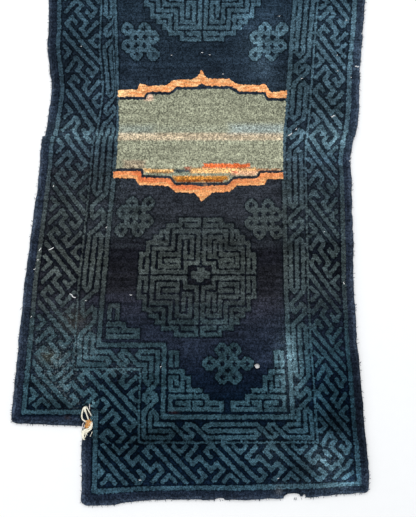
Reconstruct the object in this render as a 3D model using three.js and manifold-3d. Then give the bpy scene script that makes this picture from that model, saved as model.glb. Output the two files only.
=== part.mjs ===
// A knotted-pile saddle rug, lying flat with its pile up.
// Two woven half panels meet along the middle seam, which lies over the horse's spine. Each panel has one
// cut-out corner. The lower panel is worn: a chipped hem, a hole in the field, and a tear at the notch with
// bare warp ends. Millimetres, +Z up. X runs across the rug, Y along it, and the underside lies at z = 0.

import * as THREE from "three";
import { mergeVertices } from "three/addons/utils/BufferGeometryUtils.js";
import Module from "manifold-3d";

const { clamp, smoothstep } = THREE.MathUtils;

// Driving dimensions, in millimetres
const THICKNESS = 10;        // foundation and pile together, pressed flat
const RIM_HEIGHT = 3.5;      // bare selvedge before the pile rounds over it
const RIM_STEPS = [0, 1.5, 4, 9]; // distances in from an edge over which the pile rounds up
const RIM_WIDTH = RIM_STEPS[RIM_STEPS.length - 1];
const PANEL_LENGTH = 648;    // seam to end hem, on the middle line
const NOTCH_LENGTH = 520.5;  // seam to the cut-out corner
const NOTCH_SHARE = 0.2035;  // the cut-out's part of the rug's width
const HEM_CORNER = 11;       // radius of a woven outer corner
const SEAM_GAP = 0.3;        // between the two panels
const SEAM_RIDGE = 2.6;      // how far the joined edges stand up under the pile
const SEAM_RIDGE_REACH = 15; // half-width of that ridge
const SEAM_CREASE = 1.2;     // the stitched edges dip again in the last few millimetres
const SEAM_CREASE_REACH = 3.5;
const WAVE = { height: 0.5, across: 61, along: 83 }; // slow unevenness of the pile

// How many bands of facets each part of a panel is divided into
const FACETS = { cut_out_columns: 3, other_columns: 12, main_rows: 19, end_rows: 4 };

// How far each selvedge lies from the rug's middle line, at distances from the seam.
const LOWER_EDGES = [
  { from_seam: 0, left: -283, right: 286 },
  { from_seam: 17, left: -286, right: 282.5 },
  { from_seam: 45, left: -287.5, right: 278.5 },
  { from_seam: 81, left: -290.5, right: 280 },
  { from_seam: 154, left: -298, right: 280.5 },
  { from_seam: 209, left: -304, right: 281 },
  { from_seam: 263, left: -310, right: 280 },
  { from_seam: 316, left: -314, right: 282.5 },
  { from_seam: 378, left: -318.5, right: 284.5 },
  { from_seam: 431, left: -322.5, right: 289.5 },
  { from_seam: 526, left: -329.5, right: 295 },
  { from_seam: 569, left: -331, right: 299.5 },
  { from_seam: 650, left: -331.5, right: 302 },
];
const UPPER_EDGES = [
  { from_seam: 0, left: -279, right: 288 },
  { from_seam: 18, left: -276.5, right: 291.5 },
  { from_seam: 48, left: -272.5, right: 295.5 },
  { from_seam: 92, left: -268.5, right: 297.5 },
  { from_seam: 130, left: -273, right: 299.5 },
  { from_seam: 166, left: -278, right: 302.5 },
  { from_seam: 209, left: -277, right: 307.5 },
  { from_seam: 257, left: -278, right: 311.5 },
  { from_seam: 370, left: -282, right: 319 },
  { from_seam: 505, left: -289, right: 331 },
  { from_seam: 650, left: -296, right: 338 },
];

// The lower end was beaten down unevenly: it climbs to the right, and the notch's edge climbs to the left.
const LOWER_SKEW = { hem_rise: 0.044, hem_from: 505, notch_rise: 5, notch_from: 497 };
const UPPER_SKEW = { hem_rise: 0, hem_from: 505, notch_rise: 0, notch_from: 497 };

// How far the lower hem hangs past its straight line, at places across the rug. It is least worn where it
// hangs most.
const HEM_SAG_REACH = 40;    // the sag fades out over this much of the panel
const LOWER_HEM = [
  { across: -210, sag: 0.5 },
  { across: -156, sag: 1.3 },
  { across: -122, sag: -1.9 },
  { across: -87, sag: -3.8 },
  { across: -20, sag: -2.4 },
  { across: 44, sag: 1.2 },
  { across: 83, sag: 3.3 },
  { across: 118, sag: 2.8 },
  { across: 192, sag: 4.2 },
  { across: 228, sag: 2.8 },
  { across: 255, sag: 0.6 },
  { across: 300, sag: 0 },
];
const UPPER_HEM = [{ across: -400, sag: 0 }, { across: 400, sag: 0 }];

// Damage of the lower panel, as places from the seam's middle: x across, y along, both in mm
const HOLE = { x: 106, y: -415.4, radii: [4.6, 3.8, 4.4, 4.0, 4.9, 3.6, 4.2, 3.9, 4.6] };
const HEM_CHIPS = [
  [[30, -660], [31, -646.6], [35, -644.6], [41, -643.8], [47.5, -644.6], [49, -660]],
  [[149.5, -660], [151.5, -640.4], [158, -636.2], [170, -635.4], [178.5, -636.6], [180.5, -641.6],
    [184, -641.2], [185.5, -636.4], [189, -638.2], [191.5, -660]],
];
const NOTCH_CORNER = { x: -202, y: -521 };
// The tear, as places from the notch's inner corner
const TEAR = [
  [-9, -3], [-3, -1.5], [-3.2, 10], [-2.4, 21], [-0.4, 31], [3, 39], [8.5, 41.5], [13.5, 35], [16.5, 22],
  [18, 6], [17, -9], [13.5, -19.5], [7, -25], [0.5, -26.5], [-9, -27],
];

// Bare warps in the tear: strands from its top to its foot, as places from the notch's inner corner
const STRAND_WIDTH = 1.9;
const STRANDS = [
  { route: [[5.4, 38, 2.2], [0.6, 30, 4.6], [-1.4, 17, 5.2], [2.2, 4, 3.4], [7, -3, 1.6]] },
  { route: [[6.4, 38, 1.8], [4.8, 28, 3.4], [5.4, 14, 4.6], [8.5, 2, 3.0], [11, -8, 1.6]] },
  { route: [[7.4, 38, 1.6], [8.8, 28, 3.8], [10.4, 15, 4.4], [12.4, 4, 2.8], [12.2, -6, 1.6]] },
  { route: [[8.4, 37, 1.8], [12, 28, 4.2], [14.4, 17, 4.0], [14.4, 6, 2.4], [13.4, -4, 1.6]] },
  { route: [[12, -6, 1.6], [7, -9, 3.4], [1, -13, 3.8], [-1.6, -20, 2.2]] },
  { route: [[11, -8, 1.6], [8, -12, 3.8], [4, -17, 3.6], [2.4, -23, 1.6]] },
  { route: [[12, -8, 1.6], [11, -13, 3.4], [8.6, -17.5, 2.6], [6.6, -21.5, 1.4]] },
  { route: [[8, 2, 1.8], [1.8, -2.5, 4.0], [-2.4, -7, 3.4], [-3.8, -12, 1.6]] },
];
const WARP_GAP = 0.4;        // between the warps and the tear's walls
const WARP_BAND = { from: 5, to: 12, width: 4.5, height: 2.4 }; // along those places of the tear

const NAVY_PILE = { color: "#1d2836", roughness: 0.95, metalness: 0 };
const BARE_WARP = { color: "#cfc09a", roughness: 0.9, metalness: 0 };

// Solids: joining and cutting
const wasm = await Module();
wasm.setup();

/** Turns a closed three.js geometry into a solid that can be cut. */
function toSolid(geometry) {
  const bare = geometry.clone();
  bare.deleteAttribute("normal");
  bare.deleteAttribute("uv");
  const merged = mergeVertices(bare, 1e-4);
  return new wasm.Manifold(new wasm.Mesh({
    numProp: 3,
    vertProperties: Float32Array.from(merged.attributes.position.array),
    triVerts: Uint32Array.from(merged.index.array),
  }));
}

/** Turns a solid back into a three.js geometry. */
function toGeometry(solid) {
  const { vertProperties, triVerts } = solid.getMesh();
  const geometry = new THREE.BufferGeometry();
  geometry.setAttribute("position", new THREE.BufferAttribute(Float32Array.from(vertProperties), 3));
  geometry.setIndex(new THREE.BufferAttribute(Uint32Array.from(triVerts), 1));
  geometry.computeVertexNormals();
  return geometry;
}

/** A prism through the whole thickness on an outline of [x, y] places. */
function prism(outline, bottom, top) {
  const shape = new THREE.Shape(outline.map(([x, y]) => new THREE.Vector2(x, y)));
  const geometry = new THREE.ExtrudeGeometry(shape, { depth: top - bottom, bevelEnabled: false });
  return geometry.translate(0, 0, bottom);
}

// The woven panels

/** One column of a table at a place in its first column, on a smooth curve through its rows. */
function readTable(rows, place, column, at) {
  const last = rows.length - 2;
  let i = 0;
  while (i < last && rows[i + 1][place] < at) i += 1;
  const [a, b] = [rows[i], rows[i + 1]];
  const before = rows[Math.max(i - 1, 0)];
  const after = rows[Math.min(i + 2, last + 1)];
  const span = b[place] - a[place];
  const t = (at - a[place]) / span;
  const slopeA = (b[column] - before[column]) / (b[place] - before[place]) * span;
  const slopeB = (after[column] - a[column]) / (after[place] - a[place]) * span;
  const [t2, t3] = [t * t, t * t * t];
  return (2 * t3 - 3 * t2 + 1) * a[column] + (t3 - 2 * t2 + t) * slopeA
    + (3 * t2 - 2 * t3) * b[column] + (t3 - t2) * slopeB;
}

/** Places between two limits: the rim steps at each end and a count of even steps between them. */
function spread(low, high, count) {
  const inner = [];
  for (let i = 1; i < count; i += 1) {
    inner.push(low + RIM_WIDTH + (high - low - 2 * RIM_WIDTH) * i / count);
  }
  return [...RIM_STEPS.map((s) => low + s), ...inner, ...RIM_STEPS.map((s) => high - s).reverse()];
}

/** The height of the pile at a distance in from the nearest edge. */
function pileHeight(depth, x, fromSeam) {
  const inward = Math.min(depth / RIM_WIDTH, 1);
  const rounded = Math.sqrt(1 - (1 - inward) ** 2);
  const ridge = SEAM_RIDGE * Math.exp(-((fromSeam / SEAM_RIDGE_REACH) ** 2));
  const crease = SEAM_CREASE * Math.exp(-((fromSeam / SEAM_CREASE_REACH) ** 2));
  const wave = WAVE.height * Math.sin(x / WAVE.across + 0.7) * Math.sin(fromSeam / WAVE.along + 0.4);
  return RIM_HEIGHT + (THICKNESS - RIM_HEIGHT + ridge - crease + wave) * rounded;
}

/** Where a corner's place goes once that corner is rounded: a and b are its distances from the two edges. */
function roundedCorner(a, b, radius) {
  const [p, q] = [radius - a, radius - b];
  if (p <= 0 || q <= 0) return { a, b };
  const grow = Math.max(p, q) / Math.hypot(p, q);
  return { a: radius - p * grow, b: radius - q * grow };
}

/** One half panel. side is -1 for the lower one and 1 for its mirror above the seam. */
function wovenPanel(side, stations, skew, hem) {
  const rows = [
    ...spread(SEAM_GAP / 2, NOTCH_LENGTH, FACETS.main_rows),
    ...spread(NOTCH_LENGTH, PANEL_LENGTH, FACETS.end_rows).slice(1),
  ];
  const notchRow = rows.indexOf(NOTCH_LENGTH);
  const places = [];
  let columns = 0;
  let notchColumn = 0;
  rows.forEach((fromSeam, row) => {
    const left = readTable(stations, "from_seam", "left", fromSeam);
    const right = readTable(stations, "from_seam", "right", fromSeam);
    const notch = left + (right - left) * NOTCH_SHARE;
    const cutOutPart = spread(left, notch, FACETS.cut_out_columns);
    notchColumn = cutOutPart.length - 1;
    const across = [...cutOutPart, ...spread(notch, right, FACETS.other_columns).slice(1)];
    columns = across.length;
    across.forEach((x, column) => {
      // The distances in from each edge, the nearest of which sets the pile's height
      const toNotchEnd = NOTCH_LENGTH - fromSeam;
      const nearest = [right - x, PANEL_LENGTH - fromSeam, row <= notchRow ? x - left : x - notch];
      if (column < notchColumn) nearest.push(toNotchEnd);
      else if (row <= notchRow) nearest.push(Math.hypot(x - notch, toNotchEnd));
      // The three woven corners are round
      let [px, py] = [x, fromSeam];
      if (column < notchColumn) {
        const corner = roundedCorner(x - left, NOTCH_LENGTH - fromSeam, HEM_CORNER);
        [px, py] = [left + corner.a, NOTCH_LENGTH - corner.b];
      } else if (row > notchRow) {
        const inner = roundedCorner(x - notch, PANEL_LENGTH - fromSeam, HEM_CORNER);
        const outer = roundedCorner(right - x, PANEL_LENGTH - fromSeam, HEM_CORNER);
        px = x + (inner.a - (x - notch)) - (outer.a - (right - x));
        py = PANEL_LENGTH - Math.max(inner.b, outer.b);
      }
      const towardsHem = Math.max((py - skew.hem_from) / (PANEL_LENGTH - skew.hem_from), 0);
      const hemRise = skew.hem_rise * towardsHem ** 3 * px;
      const beside = clamp((notch - px) / (notch - left), 0, 1);
      const notchRise = skew.notch_rise * beside * smoothstep(py, skew.notch_from, NOTCH_LENGTH);
      const sag = readTable(hem, "across", "sag", px)
        * smoothstep(py, PANEL_LENGTH - HEM_SAG_REACH, PANEL_LENGTH);
      const z = pileHeight(Math.max(Math.min(...nearest), 0), x, fromSeam);
      places.push([px, side * (py - hemRise - notchRise + sag), z]);
    });
  });

  const filled = (row, column) => row >= 0 && row < rows.length - 1 && column >= 0 && column < columns - 1
    && !(row >= notchRow && column < notchColumn);
  const below = places.length;
  const at = (row, column) => row * columns + column;
  const triangles = [];
  const quad = (a, b, c, d) => triangles.push(...(side < 0 ? [a, b, c, a, c, d] : [a, c, b, a, d, c]));
  for (let row = 0; row < rows.length - 1; row += 1) {
    for (let column = 0; column < columns - 1; column += 1) {
      if (!filled(row, column)) continue;
      const [a, b] = [at(row, column), at(row, column + 1)];
      const [c, d] = [at(row + 1, column + 1), at(row + 1, column)];
      quad(a, d, c, b);
      quad(a + below, b + below, c + below, d + below);
      if (!filled(row - 1, column)) quad(a, b, b + below, a + below);
      if (!filled(row + 1, column)) quad(c, d, d + below, c + below);
      if (!filled(row, column - 1)) quad(d, a, a + below, d + below);
      if (!filled(row, column + 1)) quad(b, c, c + below, b + below);
    }
  }
  const geometry = new THREE.BufferGeometry();
  const coordinates = [...places, ...places.map(([x, y]) => [x, y, 0])].flat();
  geometry.setAttribute("position", new THREE.Float32BufferAttribute(coordinates, 3));
  geometry.setIndex(triangles);
  return toSolid(geometry);
}

/** Cuts the hem chips, the hole and the tear through the lower panel. */
function worn(panel) {
  const hole = HOLE.radii.map((radius, i) => {
    const turn = i / HOLE.radii.length * 2 * Math.PI;
    return [HOLE.x + radius * Math.cos(turn), HOLE.y + radius * Math.sin(turn)];
  });
  const tear = TEAR.map(([x, y]) => [NOTCH_CORNER.x + x, NOTCH_CORNER.y + y]);
  return [hole, tear, ...HEM_CHIPS].reduce(
    (solid, outline) => solid.subtract(toSolid(prism(outline.slice().reverse(), -5, THICKNESS * 2))), panel);
}

/** The tear's outline, drawn in from its walls by a distance. */
function tearInside(inset) {
  return TEAR.map(([x, y], i) => {
    const before = TEAR[(i + TEAR.length - 1) % TEAR.length];
    const after = TEAR[(i + 1) % TEAR.length];
    const along = new THREE.Vector2(after[0] - before[0], after[1] - before[1]).normalize();
    return [NOTCH_CORNER.x + x + along.y * inset, NOTCH_CORNER.y + y - along.x * inset];
  });
}

/** The bare warps: strands rooted in a band of foundation that lies along the tear's far side. */
function tornWarps() {
  const wall = (inset) => tearInside(inset).slice(WARP_BAND.from, WARP_BAND.to);
  const outline = [...wall(WARP_GAP), ...wall(WARP_GAP + WARP_BAND.width).reverse()];
  let solid = toSolid(prism(outline, 0, WARP_BAND.height));
  const half = STRAND_WIDTH / 2;
  const corners = [[-half, 0], [0, -half], [half, 0], [0, half]];
  const section = new THREE.Shape(corners.map(([x, y]) => new THREE.Vector2(x, y)));
  for (const { route } of STRANDS) {
    const path = new THREE.CatmullRomCurve3(
      route.map(([x, y, z]) => new THREE.Vector3(NOTCH_CORNER.x + x, NOTCH_CORNER.y + y, z)));
    const strand = new THREE.ExtrudeGeometry(section, { extrudePath: path, steps: 10, bevelEnabled: false });
    solid = solid.add(toSolid(strand));
  }
  return solid.intersect(toSolid(prism(tearInside(WARP_GAP).reverse(), 0, THICKNESS)));
}

// The scene graph
const rug = new THREE.Group();
const pieces = [
  { name: "lower_panel", solid: worn(wovenPanel(-1, LOWER_EDGES, LOWER_SKEW, LOWER_HEM)), finish: NAVY_PILE },
  { name: "upper_panel", solid: wovenPanel(1, UPPER_EDGES, UPPER_SKEW, UPPER_HEM), finish: NAVY_PILE },
  { name: "torn_warps", solid: tornWarps(), finish: BARE_WARP },
];
for (const { name, solid, finish } of pieces) {
  const mesh = new THREE.Mesh(toGeometry(solid), new THREE.MeshStandardMaterial(finish));
  mesh.name = name;
  rug.add(mesh);
}

// The origin is the middle of the rug's box, on the surface it lies on
const middle = new THREE.Box3().setFromObject(rug).getCenter(new THREE.Vector3());
rug.position.set(-middle.x, -middle.y, 0);
rug.updateMatrixWorld(true);

export default rug;
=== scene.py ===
"""A knotted-pile saddle rug that lies flat with its pile up.

Two woven half panels meet along the seam over the horse's spine. Each is one closed mesh: the pile with its
rounded rim, the knotted back, and the selvedge between them. The pattern is charted in knots, as a weaver
counts it, and each knot's distance from the nearest light yarn is kept on the mesh for the finishes to read.
"""

import logging
import math
from collections.abc import Callable
from dataclasses import dataclass
from enum import Enum

import bpy
import numpy as np
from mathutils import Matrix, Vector


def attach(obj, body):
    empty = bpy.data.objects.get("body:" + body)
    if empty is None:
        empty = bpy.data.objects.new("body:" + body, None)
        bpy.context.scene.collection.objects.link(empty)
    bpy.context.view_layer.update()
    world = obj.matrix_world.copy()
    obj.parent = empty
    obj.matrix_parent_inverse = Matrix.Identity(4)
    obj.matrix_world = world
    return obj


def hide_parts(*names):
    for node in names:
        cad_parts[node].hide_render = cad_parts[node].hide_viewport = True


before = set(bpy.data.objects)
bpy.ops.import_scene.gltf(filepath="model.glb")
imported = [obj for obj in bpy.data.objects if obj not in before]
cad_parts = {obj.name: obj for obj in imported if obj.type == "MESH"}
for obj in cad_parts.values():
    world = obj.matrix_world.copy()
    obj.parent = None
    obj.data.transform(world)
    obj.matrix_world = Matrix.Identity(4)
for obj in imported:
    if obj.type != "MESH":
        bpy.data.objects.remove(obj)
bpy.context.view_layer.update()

logging.basicConfig(level=logging.INFO, format="%(levelname)s %(name)s: %(message)s")
log = logging.getLogger("saddle_rug")

Point = tuple[float, float]
Points = tuple[Point, ...]
Grid = np.ndarray  # one value for each place of a panel, a chart or a route
Piece = bpy.types.Object

MM = 0.001

# The solids' sizes, in millimetres
THICKNESS = 10.0
RIM_HEIGHT = 3.5
RIM_WIDTH = 9.0
PANEL_LENGTH = 648.0
NOTCH_LENGTH = 520.5
NOTCH_SHARE = 0.2035
HEM_CORNER = 11.0
SEAM_TOUCH = 0.03  # from the seam to each panel's pile, which meets the other's
SEAM_RIDGE, SEAM_RIDGE_REACH = 2.6, 15.0
SEAM_CREASE, SEAM_CREASE_REACH = 1.2, 3.5
WAVE_HEIGHT, WAVE_ACROSS, WAVE_ALONG = 0.5, 61.0, 83.0
HEM_SAG_REACH = 40.0
TO_ORIGIN = Vector((-4.4627, 4.5987, 0))  # from the middle of the seam to the part's origin

# The weaver's chart counts knots from the left selvedge and from the seam
KNOT = 3.55  # mm along the rug
KNOT_MEAN = 3.45  # mm, both ways
NOTCH_KNOT = 35.0  # the cut-out's edge
FIELD_LEFT = 41.0  # the light line round the field
FIELD_RIGHT = 140.0
ALL_KNOTS = 176.0
HEM_KNOT = PANEL_LENGTH / KNOT
NOTCH_END = NOTCH_LENGTH / KNOT
FAR = -4.0  # knots: a place with no light yarn near it


class Side(Enum):
    """The two half panels, by the sign of Y on their side of the seam."""

    LOWER = -1
    UPPER = 1


def linear(hex_colour: str) -> tuple[float, float, float, float]:
    """Turns an sRGB hex colour into linear RGBA.

    Args:
        hex_colour: six hex digits after a hash.

    Returns:
        Linear red, green and blue with an alpha of 1.
    """
    digits = hex_colour.lstrip("#")
    levels = [int(digits[i:i + 2], 16) / 255 for i in (0, 2, 4)]
    red, green, blue = (v / 12.92 if v <= 0.04045 else ((v + 0.055) / 1.055) ** 2.4 for v in levels)
    return red, green, blue, 1.0


def read_table(rows: tuple[tuple[float, ...], ...], at: Grid) -> list[Grid]:
    """Reads a table on the smooth curve through its rows, as the solids do.

    Args:
        rows: a place and one or more values in each row.
        at: the places to read at.

    Returns:
        One array for each value column.
    """
    table = np.array(rows, float)
    place = table[:, 0]
    last = len(table) - 2
    i = np.clip(np.searchsorted(place[1:], at, side="left"), 0, last)
    before, after = np.maximum(i - 1, 0), np.minimum(i + 2, last + 1)
    span = place[i + 1] - place[i]
    t = (at - place[i]) / span
    curves = []
    for column in table.T[1:]:
        slope_a = (column[i + 1] - column[before]) / (place[i + 1] - place[before]) * span
        slope_b = (column[after] - column[i]) / (place[after] - place[i]) * span
        curves.append((2 * t**3 - 3 * t**2 + 1) * column[i] + (t**3 - 2 * t**2 + t) * slope_a
                      + (3 * t**2 - 2 * t**3) * column[i + 1] + (t**3 - t**2) * slope_b)
    return curves


def smoothstep(value: Grid, low: float, high: float) -> Grid:
    """Rises smoothly from 0 at low to 1 at high."""
    t = np.clip((value - low) / (high - low), 0, 1)
    return t * t * (3 - 2 * t)


def polygon_depth(points: Points, x: Grid, y: Grid) -> Grid:
    """Measures how far places lie inside a polygon.

    Args:
        points: the polygon's corners in order.
        x: the places across.
        y: the places along.

    Returns:
        The distance to the polygon's edge, positive inside and negative outside.
    """
    nearest = np.full(np.broadcast(x, y).shape, 1e9)
    inside = np.zeros(nearest.shape, bool)
    for (ax, ay), (bx, by) in zip(points, points[1:] + points[:1]):
        dx, dy = bx - ax, by - ay
        t = np.clip(((x - ax) * dx + (y - ay) * dy) / max(dx * dx + dy * dy, 1e-12), 0, 1)
        nearest = np.minimum(nearest, np.hypot(x - ax - t * dx, y - ay - t * dy))
        if ay != by:
            crosses = (ay > y) != (by > y)
            inside ^= crosses & (x < ax + (y - ay) * dx / dy)
    return np.where(inside, nearest, -nearest)


# The panels' outlines, as the solids have them, and the light line round the field: distance from the seam,
# then the left and the right place across, in millimetres from the middle of the seam
LOWER_EDGES = (
    (0, -283, 286), (17, -286, 282.5), (45, -287.5, 278.5), (81, -290.5, 280), (154, -298, 280.5),
    (209, -304, 281), (263, -310, 280), (316, -314, 282.5), (378, -318.5, 284.5), (431, -322.5, 289.5),
    (526, -329.5, 295), (569, -331, 299.5), (650, -331.5, 302),
)
UPPER_EDGES = (
    (0, -279, 288), (18, -276.5, 291.5), (48, -272.5, 295.5), (92, -268.5, 297.5), (130, -273, 299.5),
    (166, -278, 302.5), (209, -277, 307.5), (257, -278, 311.5), (370, -282, 319), (505, -289, 331),
    (650, -296, 338),
)
LOWER_FIELD = (
    (0, -146.4, 156.5), (60, -149.4, 156.3), (173, -160, 157), (298, -169.2, 158.7), (369, -174.3, 161.4),
    (492, -180.2, 167.5), (650, -181, 176),
)
UPPER_FIELD = (
    (0, -145.5, 156.5), (9, -144.6, 157), (35, -145.6, 160.5), (86, -147.4, 165.2), (133, -149.2, 169.8),
    (181, -151.4, 173.2), (257, -154.2, 180.2), (650, -158, 208),
)
# How far the lower hem hangs past its straight line, at places across
LOWER_HEM = (
    (-210, 0.5), (-156, 1.3), (-122, -1.9), (-87, -3.8), (-20, -2.4), (44, 1.2), (83, 3.3), (118, 2.8),
    (192, 4.2), (228, 2.8), (255, 0.6), (300, 0),
)
UPPER_HEM = ((-400, 0), (400, 0))


@dataclass(frozen=True)
class PanelPlan:
    """Where a half panel's knots lie: its outline, its skew and its field."""

    side: Side
    edges: tuple[tuple[float, ...], ...]
    field: tuple[tuple[float, ...], ...]
    hem: tuple[tuple[float, ...], ...]
    hem_rise: float
    notch_rise: float
    hem_from: float = 505.0
    notch_from: float = 497.0

    def place(self, across: Grid, from_seam: Grid) -> tuple[Grid, Grid, Grid]:
        """Lays the grid of knots out.

        Args:
            across: the columns, in knots from the left selvedge.
            from_seam: the rows, in millimetres from the seam.

        Returns:
            X, Y and the distance in from the nearest edge, in millimetres from the middle of the seam.
        """
        left, right = read_table(self.edges, from_seam)
        notch = left + (right - left) * NOTCH_SHARE
        field = np.array(self.field, float)
        marks = (0, NOTCH_KNOT, FIELD_LEFT, FIELD_RIGHT, ALL_KNOTS)
        lines = np.stack([left, notch, np.interp(from_seam, field[:, 0], field[:, 1]),
                          np.interp(from_seam, field[:, 0], field[:, 2]), right], axis=1)
        x = np.stack([np.interp(across, marks, line) for line in lines])
        left, right, notch, s = (v[:, None] for v in (left, right, notch, from_seam))
        s = np.broadcast_to(s, x.shape)
        in_flap = s > NOTCH_LENGTH + 0.01
        beside = np.broadcast_to(across < NOTCH_KNOT - 0.01, x.shape)
        to_notch_end = np.maximum(NOTCH_LENGTH - s, 0)
        depth = np.minimum(right - x, PANEL_LENGTH - s)
        depth = np.minimum(depth, np.where(in_flap, x - notch, x - left))
        depth = np.minimum(depth, np.where(beside, to_notch_end, np.where(
            in_flap, 1e9, np.hypot(x - notch, to_notch_end))))
        px, py = self._round_corners(x, s, left, notch, right, beside, in_flap)
        towards_hem = np.maximum((py - self.hem_from) / (PANEL_LENGTH - self.hem_from), 0)
        hem_rise = self.hem_rise * towards_hem**3 * px
        outward = np.clip((notch - px) / (notch - left), 0, 1)
        notch_rise = self.notch_rise * outward * smoothstep(py, self.notch_from, NOTCH_LENGTH)
        (sag,) = read_table(self.hem, px)
        sag = sag * smoothstep(py, PANEL_LENGTH - HEM_SAG_REACH, PANEL_LENGTH)
        return px, self.side.value * (py - hem_rise - notch_rise + sag), np.maximum(depth, 0)

    @staticmethod
    def _round_corners(x: Grid, s: Grid, left: Grid, notch: Grid, right: Grid,
                       beside: Grid, in_flap: Grid) -> tuple[Grid, Grid]:
        """Moves the places near a woven corner onto its round.

        Args:
            x: the places across.
            s: their distances from the seam.
            left: the left selvedge's place.
            notch: the cut-out's side.
            right: the right selvedge.
            beside: which places lie left of the cut-out's side.
            in_flap: which lie past the cut-out's hem.

        Returns:
            The places across and the distances from the seam.
        """
        def rounded(a: Grid, b: Grid) -> tuple[Grid, Grid]:
            """The distances from a corner's two edges once it is round."""
            p, q = HEM_CORNER - a, HEM_CORNER - b
            there = (p > 0) & (q > 0)
            grow = np.where(there, np.maximum(p, q) / np.maximum(np.hypot(p, q), 1e-9), 1)
            return np.where(there, HEM_CORNER - p * grow, a), np.where(there, HEM_CORNER - q * grow, b)

        a, b = rounded(x - left, NOTCH_LENGTH - s)
        inner_a, inner_b = rounded(x - notch, PANEL_LENGTH - s)
        outer_a, outer_b = rounded(right - x, PANEL_LENGTH - s)
        px = np.where(in_flap, x + (inner_a - (x - notch)) - (outer_a - (right - x)), x)
        py = np.where(in_flap, PANEL_LENGTH - np.maximum(inner_b, outer_b), s)
        return np.where(beside, left + a, px), np.where(beside, NOTCH_LENGTH - b, py)


LOWER_PLAN = PanelPlan(Side.LOWER, LOWER_EDGES, LOWER_FIELD, LOWER_HEM, hem_rise=0.044, notch_rise=5.0)
UPPER_PLAN = PanelPlan(Side.UPPER, UPPER_EDGES, UPPER_FIELD, UPPER_HEM, hem_rise=0.0, notch_rise=0.0)


def pile_height(depth: Grid, x: Grid, from_seam: Grid) -> Grid:
    """The pile's height at a distance in from the nearest edge, in millimetres, as the solids have it.

    Args:
        depth: the distance in from the edge.
        x: the place across.
        from_seam: the distance from the seam.

    Returns:
        The height above the floor.
    """
    inward = np.minimum(depth / RIM_WIDTH, 1)
    rounded = np.sqrt(1 - (1 - inward) ** 2)
    ridge = SEAM_RIDGE * np.exp(-((from_seam / SEAM_RIDGE_REACH) ** 2))
    crease = SEAM_CREASE * np.exp(-((from_seam / SEAM_CREASE_REACH) ** 2))
    wave = WAVE_HEIGHT * np.sin(x / WAVE_ACROSS + 0.7) * np.sin(from_seam / WAVE_ALONG + 0.4)
    return RIM_HEIGHT + (THICKNESS - RIM_HEIGHT + ridge - crease + wave) * rounded


class Edge(Enum):
    """The edges of the rug that a side of the border runs along."""

    LEFT = "left selvedge"
    RIGHT = "right selvedge"
    HEM = "end hem"
    NOTCH_HEM = "the cut-out's hem"
    NOTCH_SIDE = "the cut-out's side"


@dataclass(frozen=True)
class BorderLayers:
    """How one side of the border is counted in from its edge, in knots."""

    edge: float  # the edge's place on the chart
    inward: int  # 1 or -1, for the way in
    line: float  # middle of the outer light line
    key_from: float  # the key band
    key_to: float
    thin_line: float  # middle of the thin light line
    fret_from: float  # the running fret's outer side
    field_line: float  # middle of the light line round the field

    def at(self, distance: float) -> float:
        """The chart place of a distance in from the edge."""
        return self.edge + self.inward * distance


LAYERS = {edge: BorderLayers(*row) for edge, row in {
    Edge.LEFT: (0.0, 1, 6.2, 8.3, 28.2, 28.8, 30.4, 41.0),
    Edge.RIGHT: (ALL_KNOTS, -1, 5.5, 7.3, 23.9, 24.4, 25.7, 36.0),
    Edge.HEM: (HEM_KNOT, -1, 6.2, 8.2, 27.7, 28.2, 29.5, 40.6),
    Edge.NOTCH_HEM: (NOTCH_END, -1, 7.1, 9.0, 27.6, 28.1, 29.3, 40.1),
    Edge.NOTCH_SIDE: (NOTCH_KNOT, 1, 6.5, 8.5, 27.6, 28.1, 29.4, 40.2),
}.items()}

LINE_HALF = 1.1  # half the width of the outer light line and of the line round the field
THIN_HALF = 0.5
FRET_HALF = 1.03
FRET_LINES = (1.1, 4.3, 7.5)  # the running fret's outer, middle and inner line, from its outer side
KEY_HALF = 1.06


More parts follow.
